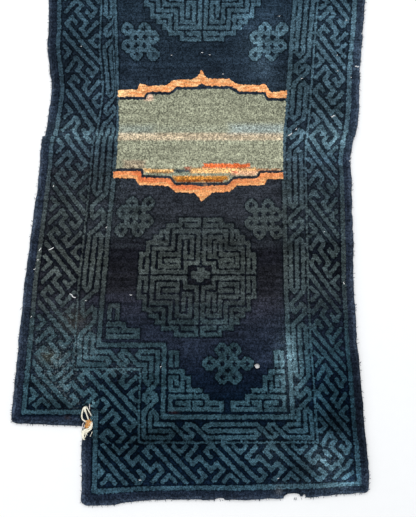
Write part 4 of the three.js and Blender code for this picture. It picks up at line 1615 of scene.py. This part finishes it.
    def _relief(self) -> NodeRows:
        """The surface's fine relief: tufts on the pile, and rows of hard little knots on the back."""
        if self.back:
            return (
                ("back_rows", Step.ROWS, "place", per_metre(KNOT) / 6.2832, 0.6),
                ("relief", Step.SCALE_ADD, "fuzz", 0.5, "back_rows"),
            )
        return (
            ("tufts", Step.TUFTS, "place", per_metre(TUFT), 0.4, 0.7),
            ("fibres", Step.PRODUCT, "fuzz", 0.9),
            ("lumps", Step.SCALE_ADD, "tufts", -1.0, "fibres"),
            ("relief", Step.SCALE_ADD, "pattern", 0.25, "lumps"),
        )


@dataclass(frozen=True)
class PlainFinish:
    """A wool, cotton or backdrop finish with a fine grain in its colour and surface."""

    name: str
    dark: str
    pale: str
    grain: float  # mm across one fibre clump or grain
    rough: float = 0.9
    bump: float = 0.3  # mm

    def material(self) -> bpy.types.Material:
        """The finished material."""
        graph = Graph(self.name)
        graph.add_rows((
            ("place", Step.PLACE),
            ("grain", Step.NOISE, "place", per_metre(self.grain), 4.0),
            ("colour", Step.BLEND, "grain", self.dark, self.pale),
            ("normal", Step.BUMP, 0.5, self.bump * MM, "grain"),
            ("surface", Step.SURFACE, "colour", self.rough, "normal"),
            ("output", Step.OUTPUT, "surface"),
        ))
        return graph.material


def dressed(piece: Piece, finishes: tuple[PlainFinish, ...]) -> Piece:
    """Gives a piece its finishes, in slot order.

    Args:
        piece: the piece.
        finishes: its finishes.

    Returns:
        The same piece.
    """
    for finish in finishes:
        piece.data.materials.append(finish.material())
    return piece


@dataclass(frozen=True)
class Yarn:
    """A length of yarn: its points in millimetres, its thickness, its plies and which finish it takes."""

    points: tuple[tuple[float, float, float], ...]
    width: float
    plies: int = 2
    finish: int = 0
    lay: float = 5.0  # mm along the yarn for one turn of its plies


def smooth_route(points: Grid, spacing: float) -> Grid:
    """Runs a smooth curve through points and lays new ones along it.

    Args:
        points: the points to pass.
        spacing: the distance between the new ones.

    Returns:
        Points at even spacing, the given ends included.
    """
    if len(points) == 2:
        points = np.stack([points[0], points.mean(axis=0), points[1]])
    ends = np.concatenate([[2 * points[0] - points[1]], points, [2 * points[-1] - points[-2]]])
    t = np.linspace(0, 1, 12, endpoint=False)[:, None]
    dense = []
    for p0, p1, p2, p3 in zip(ends, ends[1:], ends[2:], ends[3:]):
        dense.append(0.5 * (2 * p1 + (p2 - p0) * t + (2 * p0 - 5 * p1 + 4 * p2 - p3) * t**2
                            + (3 * p1 - p0 - 3 * p2 + p3) * t**3))
    curve = np.concatenate(dense + [points[-1:]])
    length = np.concatenate([[0], np.cumsum(np.linalg.norm(np.diff(curve, axis=0), axis=1))])
    at = np.linspace(0, length[-1], max(int(round(length[-1] / spacing)), 3) + 1)
    return np.stack([np.interp(at, length, curve[:, k]) for k in range(3)], axis=1)


@dataclass
class YarnPiece:
    """Lengths of yarn in one mesh, each made of twisted plies with tapered ends."""

    name: str
    yarns: tuple[Yarn, ...]
    spacing: float = 0.7  # mm between rings
    sides: int = 6
    ply_radius: float = 0.29  # of the yarn's width, where it has two plies
    ply_offset: float = 0.22  # of the width, from the yarn's middle to a ply's
    taper: float = 1.2  # widths over which an end thins
    tip: float = 0.35  # of the radius, left at the very end

    def build(self, shift: Vector) -> Piece:
        """Builds the piece in the part's frame, without its finishes.

        Args:
            shift: from the middle of the seam to the part's origin.

        Returns:
            The piece.
        """
        places: list[Grid] = []
        faces: list[list[int]] = []
        finishes: list[int] = []
        count = 0
        for yarn in self.yarns:
            route = smooth_route(np.array(yarn.points, float), self.spacing)
            for ply in range(yarn.plies):
                tube = self._tube(route, yarn, ply)
                rings = len(tube) // self.sides
                for r in range(rings - 1):
                    for k in range(self.sides):
                        after = (k + 1) % self.sides
                        low, high = count + r * self.sides, count + (r + 1) * self.sides
                        faces.append([low + k, high + k, high + after, low + after])
                faces.append([count + k for k in range(self.sides)])
                faces.append([count + (rings - 1) * self.sides + k for k in reversed(range(self.sides))])
                finishes += [yarn.finish] * ((rings - 1) * self.sides + 2)
                places.append(tube)
                count += len(tube)
        co = (np.concatenate(places) + np.array([shift.x, shift.y, 0])) * MM
        mesh = bpy.data.meshes.new(self.name)
        mesh.from_pydata(co.tolist(), [], faces)
        mesh.polygons.foreach_set("material_index", finishes)
        mesh.polygons.foreach_set("use_smooth", [True] * len(faces))
        piece = bpy.data.objects.new(self.name, mesh)
        bpy.context.scene.collection.objects.link(piece)
        return piece

    def _tube(self, route: Grid, yarn: Yarn, ply: int) -> Grid:
        """One ply's rings of places along a yarn's route.

        Args:
            route: the yarn's middle line.
            yarn: the yarn.
            ply: which of its plies.

        Returns:
            The rings' places, one ring after another.
        """
        ahead = np.gradient(route, axis=0)
        ahead /= np.linalg.norm(ahead, axis=1)[:, None]
        across = np.cross(ahead, [0.0, 0.0, 1.0])
        across /= np.maximum(np.linalg.norm(across, axis=1), 1e-6)[:, None]
        above = np.cross(across, ahead)
        step = np.linalg.norm(np.diff(route, axis=0), axis=1)
        along = np.concatenate([[0], np.cumsum(step)])
        turn = 2 * math.pi * (along / yarn.lay + ply / yarn.plies)
        radius = yarn.width / 2 if yarn.plies == 1 else yarn.width * self.ply_radius
        offset = 0.0 if yarn.plies == 1 else yarn.width * self.ply_offset
        middle = route + offset * (np.cos(turn)[:, None] * across + np.sin(turn)[:, None] * above)
        taper = np.clip(np.minimum(along, along[-1] - along) / (yarn.width * self.taper), self.tip, 1)
        rings = []
        for k in range(self.sides):
            angle = 2 * math.pi * k / self.sides
            rings.append(middle + (radius * taper)[:, None] * (math.cos(angle) * across
                                                              + math.sin(angle) * above))
        return np.stack(rings, axis=1).reshape(-1, 3)


class WarpFinish(Enum):
    """The finishes of the torn place's yarns, in slot order."""

    CREAM = 0
    ORANGE = 1
    BLUE = 2
    GREY = 3


CREAM, ORANGE, BLUE, GREY = WarpFinish

# The bare yarns in the tear, as they lie there: width, finish and points, in millimetres
TORN_WARPS = (
    (3.2, CREAM, (
        (-200.4, -489.2, 6.4), (-198.6, -487.6, 8.4), (-196.0, -487.6, 8.6), (-193.6, -489.6, 7.0))),
    (3.1, CREAM, (
        (-196.8, -485.4, 6.5), (-198.8, -487.4, 7.6), (-201.0, -491.0, 7.8), (-202.8, -498.0, 7.0),
        (-203.0, -504.4, 6.6), (-201.2, -508.8, 6.2), (-197.4, -511.6, 5.4), (-194.0, -514.0, 4.6))),
    (2.8, CREAM, (
        (-195.6, -485.2, 6.2), (-197.0, -488.0, 7.6), (-196.3, -494.0, 7.4), (-194.2, -501.0, 6.6),
        (-192.3, -506.0, 6.0), (-191.0, -511.0, 5.0))),
    (2.4, CREAM, (
        (-197.8, -486.0, 6.2), (-198.4, -488.4, 8.2), (-198.0, -492.0, 7.6), (-199.0, -496.0, 5.4))),
    (2.1, CREAM, (
        (-195.2, -485.6, 6.6), (-193.4, -488.8, 7.6), (-190.6, -493.8, 7.4), (-187.6, -499.2, 6.6),
        (-185.8, -503.4, 4.4))),
    (1.5, CREAM, ((-194.6, -486.2, 6.0), (-192.6, -491.0, 6.6), (-191.6, -496.0, 4.4))),
    (2.0, GREY, (
        (-188.6, -480.4, 9.4), (-189.4, -484.4, 9.8), (-189.2, -488.4, 8.8), (-190.0, -492.0, 5.6))),
    (2.9, CREAM, (
        (-184.8, -511.6, 5.0), (-184.0, -515.4, 7.2), (-184.8, -520.4, 7.6), (-187.0, -525.4, 7.0),
        (-191.6, -527.6, 6.6), (-196.6, -528.8, 6.2), (-200.0, -532.6, 5.4), (-201.0, -538.0, 4.4),
        (-199.4, -542.6, 3.0), (-196.4, -544.2, 2.0))),
    (2.8, CREAM, (
        (-187.0, -513.6, 5.2), (-186.2, -518.6, 8.4), (-188.2, -523.4, 8.0), (-193.0, -525.0, 7.6),
        (-198.0, -526.4, 6.6), (-201.6, -530.2, 5.2), (-202.4, -535.4, 3.6), (-202.0, -540.0, 2.0))),
    (2.6, CREAM, (
        (-188.6, -517.0, 5.2), (-188.0, -521.4, 8.0), (-190.6, -524.0, 8.4), (-196.0, -526.8, 8.0),
        (-199.2, -531.6, 6.6), (-199.6, -537.4, 4.8), (-198.4, -541.4, 3.0))),
    (2.0, CREAM, (
        (-185.6, -519.0, 5.2), (-187.6, -526.2, 8.0), (-192.0, -529.2, 7.0), (-195.0, -533.6, 5.6),
        (-196.8, -538.6, 3.6), (-199.4, -542.0, 2.2))),
    (1.5, CREAM, (
        (-203.6, -527.0, 3.0), (-203.0, -532.0, 4.0), (-202.4, -538.0, 3.0), (-200.0, -545.4, 2.2),
        (-196.0, -545.0, 2.0))),
    (1.7, CREAM, (
        (-184.0, -527.6, 5.0), (-184.4, -530.4, 7.4), (-186.2, -535.0, 7.0), (-188.6, -540.2, 4.8))),
    (2.3, GREY, (
        (-199.4, -513.6, 4.4), (-201.4, -516.6, 5.4), (-201.8, -520.6, 5.0), (-199.8, -523.8, 4.2),
        (-198.4, -521.0, 4.6), (-199.2, -516.8, 4.6))),
    (1.3, GREY, ((-192.4, -528.0, 5.2), (-194.2, -531.4, 6.2), (-195.8, -535.8, 5.0))),
)
# Tufts of loose fibres there: finish, how many, middle, reach, length and width
TORN_TUFTS = (
    (ORANGE, 90, (-190.4, -514.8, 6.4), (3.2, 4.6, 1.6), 4.4, 0.95),
    (ORANGE, 40, (-192.8, -520.6, 5.6), (2.2, 3.0, 1.0), 4.5, 0.85),
    (CREAM, 30, (-186.6, -519.6, 7.0), (2.2, 4.0, 0.8), 6.0, 0.8),
    (CREAM, 26, (-197.4, -529.4, 6.2), (3.2, 2.6, 0.8), 6.0, 0.8),
    (BLUE, 14, (-183.0, -478.6, 10.6), (1.4, 1.8, 0.5), 4.0, 0.8),
    (BLUE, 10, (-185.2, -485.0, 10.0), (1.0, 2.2, 0.5), 3.5, 0.7),
    (BLUE, 12, (-184.2, -506.0, 8.6), (0.9, 4.5, 0.5), 4.0, 0.7),
)


@dataclass
class TornWarps:
    """The bare warps, the knot of orange wool and the blue tufts in the tear."""

    name: str = "torn_warp_yarns"
    bends: int = 4  # stretches of each fibre
    finishes: tuple[PlainFinish, ...] = (
        # Warm and nearly white, the lightest thing on the rug
        PlainFinish("Undyed cream wool warp, two ply", "#faf1d6", "#fffef6", 1.11111),
        # A glowing spot against the dark cloth
        PlainFinish("Orange wool, worn loose", "#c27c30", "#ffcb84", 1.11111),
        # Thin bright blue at the tear's rim
        PlainFinish("Pale indigo wool, worn loose", "#3f6b7c", "#8fc0cb", 1.11111),
        # Cream that has gone grey with dirt
        PlainFinish("Soiled wool warp, two ply", "#b0a5aa", "#f2eee8", 1.11111),
    )

    def yarns(self) -> tuple[Yarn, ...]:
        """The warps as they lie, then each tuft's fibres."""
        yarns = [Yarn(points, width, 2, finish.value) for width, finish, points in TORN_WARPS]
        random = np.random.default_rng(5)
        for finish, number, middle, reach, length, width in TORN_TUFTS:
            for _ in range(number):
                places = [np.array(middle) + np.array(reach) * random.normal(0, 0.55, 3)]
                heading = random.uniform(0, 2 * math.pi)
                for _ in range(self.bends):
                    heading += random.normal(0, 0.9)
                    move = np.array([math.cos(heading), math.sin(heading), random.normal(0, 0.25)])
                    places.append(places[-1] + move * length / self.bends)
                yarns.append(Yarn(tuple(tuple(p) for p in places), width, 1, finish.value))
        return tuple(yarns)

    def build(self, shift: Vector) -> Piece:
        """Builds and dresses the piece."""
        return dressed(YarnPiece(self.name, self.yarns()).build(shift), self.finishes)


# Lint on the pile, in millimetres from the seam's middle: place, length and direction in degrees
LINT = (
    (46.5, 116.2, 3.0, 0), (8.2, 156, 4.0, 20), (-282.0, -208.0, 7.0, 75), (-262.0, -206.5, 11.0, 25),
    (-285.6, -227.0, 4.0, 10), (-291.6, -243.0, 4.5, 40), (-221.8, -290.4, 14.0, -35),
    (-163.0, -168.0, 4.0, 80), (-118.4, -289.5, 5.0, 5), (-64.1, -416.4, 4.0, 60), (-99.5, -612.6, 4.5, 0),
    (141.0, -609.0, 3.5, 30), (168.1, 2.6, 10.0, 42), (179.2, 12.3, 4.0, 40), (247.1, 37.0, 8.0, 15),
    (292.6, 130.2, 8.0, 10), (261.3, -268.5, 5.0, 90), (228.0, -176.0, 3.0, 30), (257.1, 122.3, 3.0, 0),
    (-214.2, 168.5, 3.0, 15), (22.0, 152.0, 2.6, 0), (-48.0, 151.0, 3.0, 10), (-260.4, -92.3, 4.0, 60),
    (276.0, -46.0, 4.0, 30), (-295.0, -328.0, 3.4, 70), (-198.5, -299.5, 3.0, 20),
    (150.9, 226.1, 3.4, 20), (190.4, 107.7, 4.0, 40), (302.4, 192.4, 3.0, 80), (274.7, 218.2, 3.0, 10),
    (256.9, 151.6, 2.8, 60), (281.4, 110.0, 2.8, 0), (-275.8, 164.9, 2.8, 90),
)


@dataclass
class LooseFibres:
    """The lint on the pile and the short fibres that stand out from the selvedges and hems."""

    panels: tuple[WovenPanel, ...]
    name: str = "loose_fibres"
    count: int = 420  # fibres at the edges
    on_selvedge: float = 0.68  # the share of them that stands on a selvedge
    root: float = 1.4  # mm from the edge in to a fibre's root
    lengths: Point = (1.2, 3.6)  # mm past the edge
    heights: Point = (1.5, 5.5)  # mm above the floor
    least_height: float = 1.2
    widths: Point = (0.45, 0.8)
    lint_lift: float = 0.5  # mm between the pile and the lint
    lint_widths: Point = (1.0, 1.9)  # mm, of the shortest and the longest
    finishes: tuple[PlainFinish, ...] = (
        # White specks that catch the light
        PlainFinish("Lint, pale cotton fibre", "#e2e4e4", "#ffffff", 1.11111),
        # A dark fringe that makes the edge look soft
        PlainFinish("Loose pile fibres, indigo wool", "#141d2a", "#33465a", 1.42857),
    )

    def lint(self) -> tuple[Yarn, ...]:
        """Bits of pale lint that lie on the pile."""
        random = np.random.default_rng(8)
        yarns = []
        for x, y, length, direction in LINT:
            c, s = math.cos(math.radians(direction)), math.sin(math.radians(direction))
            ahead, aside = np.array([c, s]), np.array([-s, c])
            top = float(pile_height(np.array(RIM_REACH), np.array(x), np.array(abs(y)))) + self.lint_lift
            bend = random.normal(0, 0.12, 4) * length
            places = []
            for k, t in enumerate((-0.5, -0.2, 0.15, 0.5)):
                flat = np.array([x, y]) + ahead * t * length + aside * bend[k]
                places.append((float(flat[0]), float(flat[1]), top + abs(random.normal(0, 0.3))))
            width = min(self.lint_widths[0] + length * 0.09, self.lint_widths[1])
            yarns.append(Yarn(tuple(places), width, 2, 0, 4.0))
        return tuple(yarns)

    def fuzz(self) -> tuple[Yarn, ...]:
        """Short fibres at the edges of the panels."""
        random = np.random.default_rng(31)
        yarns = []
        for panel in self.panels:
            columns, rows = panel.grid()
            x, y, _ = panel.plan.place(columns, rows * KNOT)
            notch_row, notch_column = panel.notch(columns, rows)
            last_row, last_column = len(rows) - 1, len(columns) - 1
            outward = float(panel.plan.side.value)
            for _ in range(self.count // 2):
                row, column = int(random.integers(4, last_row - 4)), int(random.integers(4, last_column - 4))
                if random.random() < self.on_selvedge:
                    right = random.random() < 0.5
                    edge = last_column if right else (0 if row < notch_row else notch_column)
                    place, out = (x[row, edge], y[row, edge]), (1.0 if right else -1.0, random.normal(0, 0.5))
                else:
                    edge = last_row if column > notch_column else notch_row
                    place, out = (x[edge, column], y[edge, column]), (random.normal(0, 0.5), outward)
                length, height = random.uniform(*self.lengths), random.uniform(*self.heights)
                start = np.array([place[0] - out[0] * self.root, place[1] - out[1] * self.root, height])
                rise = random.normal(-0.1, 0.25)
                end = start + np.array([out[0], out[1], rise]) * (self.root + length)
                middle = (start + end) / 2 + random.normal(0, 0.35, 3)
                middle[2], end[2] = max(middle[2], self.least_height), max(end[2], self.least_height)
                width = random.uniform(*self.widths)
                yarns.append(Yarn((tuple(start), tuple(middle), tuple(end)), width, 1, 1))
        return tuple(yarns)

    def build(self, shift: Vector) -> Piece:
        """Builds and dresses the piece."""
        piece = YarnPiece(self.name, self.lint() + self.fuzz(), sides=5).build(shift)
        return dressed(piece, self.finishes)


@dataclass(frozen=True)
class Studio:
    """A pale floor, soft light from above and the photograph's camera."""

    picture: tuple[int, int] = (416, 517)
    focal: float = 800.0  # pixels
    camera: tuple[float, float, float] = (0.01447, -0.36630, 1.4355)
    tilt: float = 5.878  # degrees from straight down
    sky: str = "#eef2f6"
    sky_strength: float = 0.55
    # Name, place and size in metres, and power in watts
    lights: tuple[tuple[str, tuple[float, float, float], float, float], ...] = (
        ("overhead", (0.0, 0.5, 2.4), 2.6, 46.0),
        ("side", (-2.0, -0.6, 1.6), 1.6, 10.0),
    )

    def build(self) -> None:
        """Makes the floor, the lights and the camera."""
        bpy.ops.mesh.primitive_plane_add(size=6, location=(0, 0, 0))
        floor = bpy.context.object
        floor.name = "floor"
        # An even white that takes a soft shadow
        paint = PlainFinish("Studio floor, matt white paint", "#fafafa", "#fdfdfd", 16.6667, bump=0.05)
        dressed(floor, (paint,))
        for light in self.lights:
            self._light(*light)
        world = bpy.data.worlds.new("soft_sky")
        world.use_nodes = True
        world.node_tree.nodes["Background"].inputs["Color"].default_value = linear(self.sky)
        world.node_tree.nodes["Background"].inputs["Strength"].default_value = self.sky_strength
        bpy.context.scene.world = world
        bpy.context.scene.view_settings.view_transform = "Standard"
        self._camera()

    @staticmethod
    def _light(name: str, place: tuple[float, float, float], size: float, power: float) -> None:
        """Adds a square soft light that faces the rug's middle."""
        data = bpy.data.lights.new(name, "AREA")
        data.energy, data.size = power, size
        lamp = bpy.data.objects.new(name, data)
        lamp.location = place
        lamp.rotation_euler = (-Vector(place)).to_track_quat("-Z", "Y").to_euler()
        bpy.context.scene.collection.objects.link(lamp)

    def _camera(self) -> None:
        """Adds the camera at the photograph's angle."""
        data = bpy.data.cameras.new("camera")
        data.lens = self.focal / self.picture[1] * data.sensor_width
        camera = bpy.data.objects.new("camera", data)
        camera.location = self.camera
        camera.rotation_euler = (math.radians(self.tilt), 0, 0)
        bpy.context.scene.collection.objects.link(camera)
        bpy.context.scene.camera = camera


@dataclass
class SaddleRug:
    """The whole rug: two woven panels, what shows in the tear, and the loose fibres."""

    panels: tuple[WovenPanel, ...] = (
        WovenPanel(LOWER_PLAN, "lower_pile", "lower_panel"),
        WovenPanel(UPPER_PLAN, "upper_pile", "upper_panel"),
    )

    def build(self) -> list[Piece]:
        """Builds and dresses every piece, hangs it under the root, and hides the model's parts that the warps
        and the panels stand for.

        Returns:
            The pieces.
        """
        warps = TornWarps().build(TO_ORIGIN)
        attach(warps, "root")
        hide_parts("torn_warps")
        fibres = LooseFibres(self.panels).build(TO_ORIGIN)
        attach(fibres, "root")
        pieces = [warps, fibres]
        pile = PileWool().material()
        back = PileWool(name="Knotted wool back, hard rows of knots", back=True).material()
        for panel in self.panels:
            piece = panel.build(TO_ORIGIN)
            panel.dress(piece, pile, back)
            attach(piece, "root")
            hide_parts(panel.node)
            area = sum(p.area for p in piece.data.polygons if p.material_index == 2)
            log.info("%s: flat area %.4f m2", piece.name, area)
            pieces.append(piece)
        return pieces


def main() -> None:
    """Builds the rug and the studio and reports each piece."""
    for piece in SaddleRug().build():
        log.info("%s: %d faces, %d finishes", piece.name, len(piece.data.polygons), len(piece.data.materials))
    Studio().build()


if __name__ == "__main__":
    main()
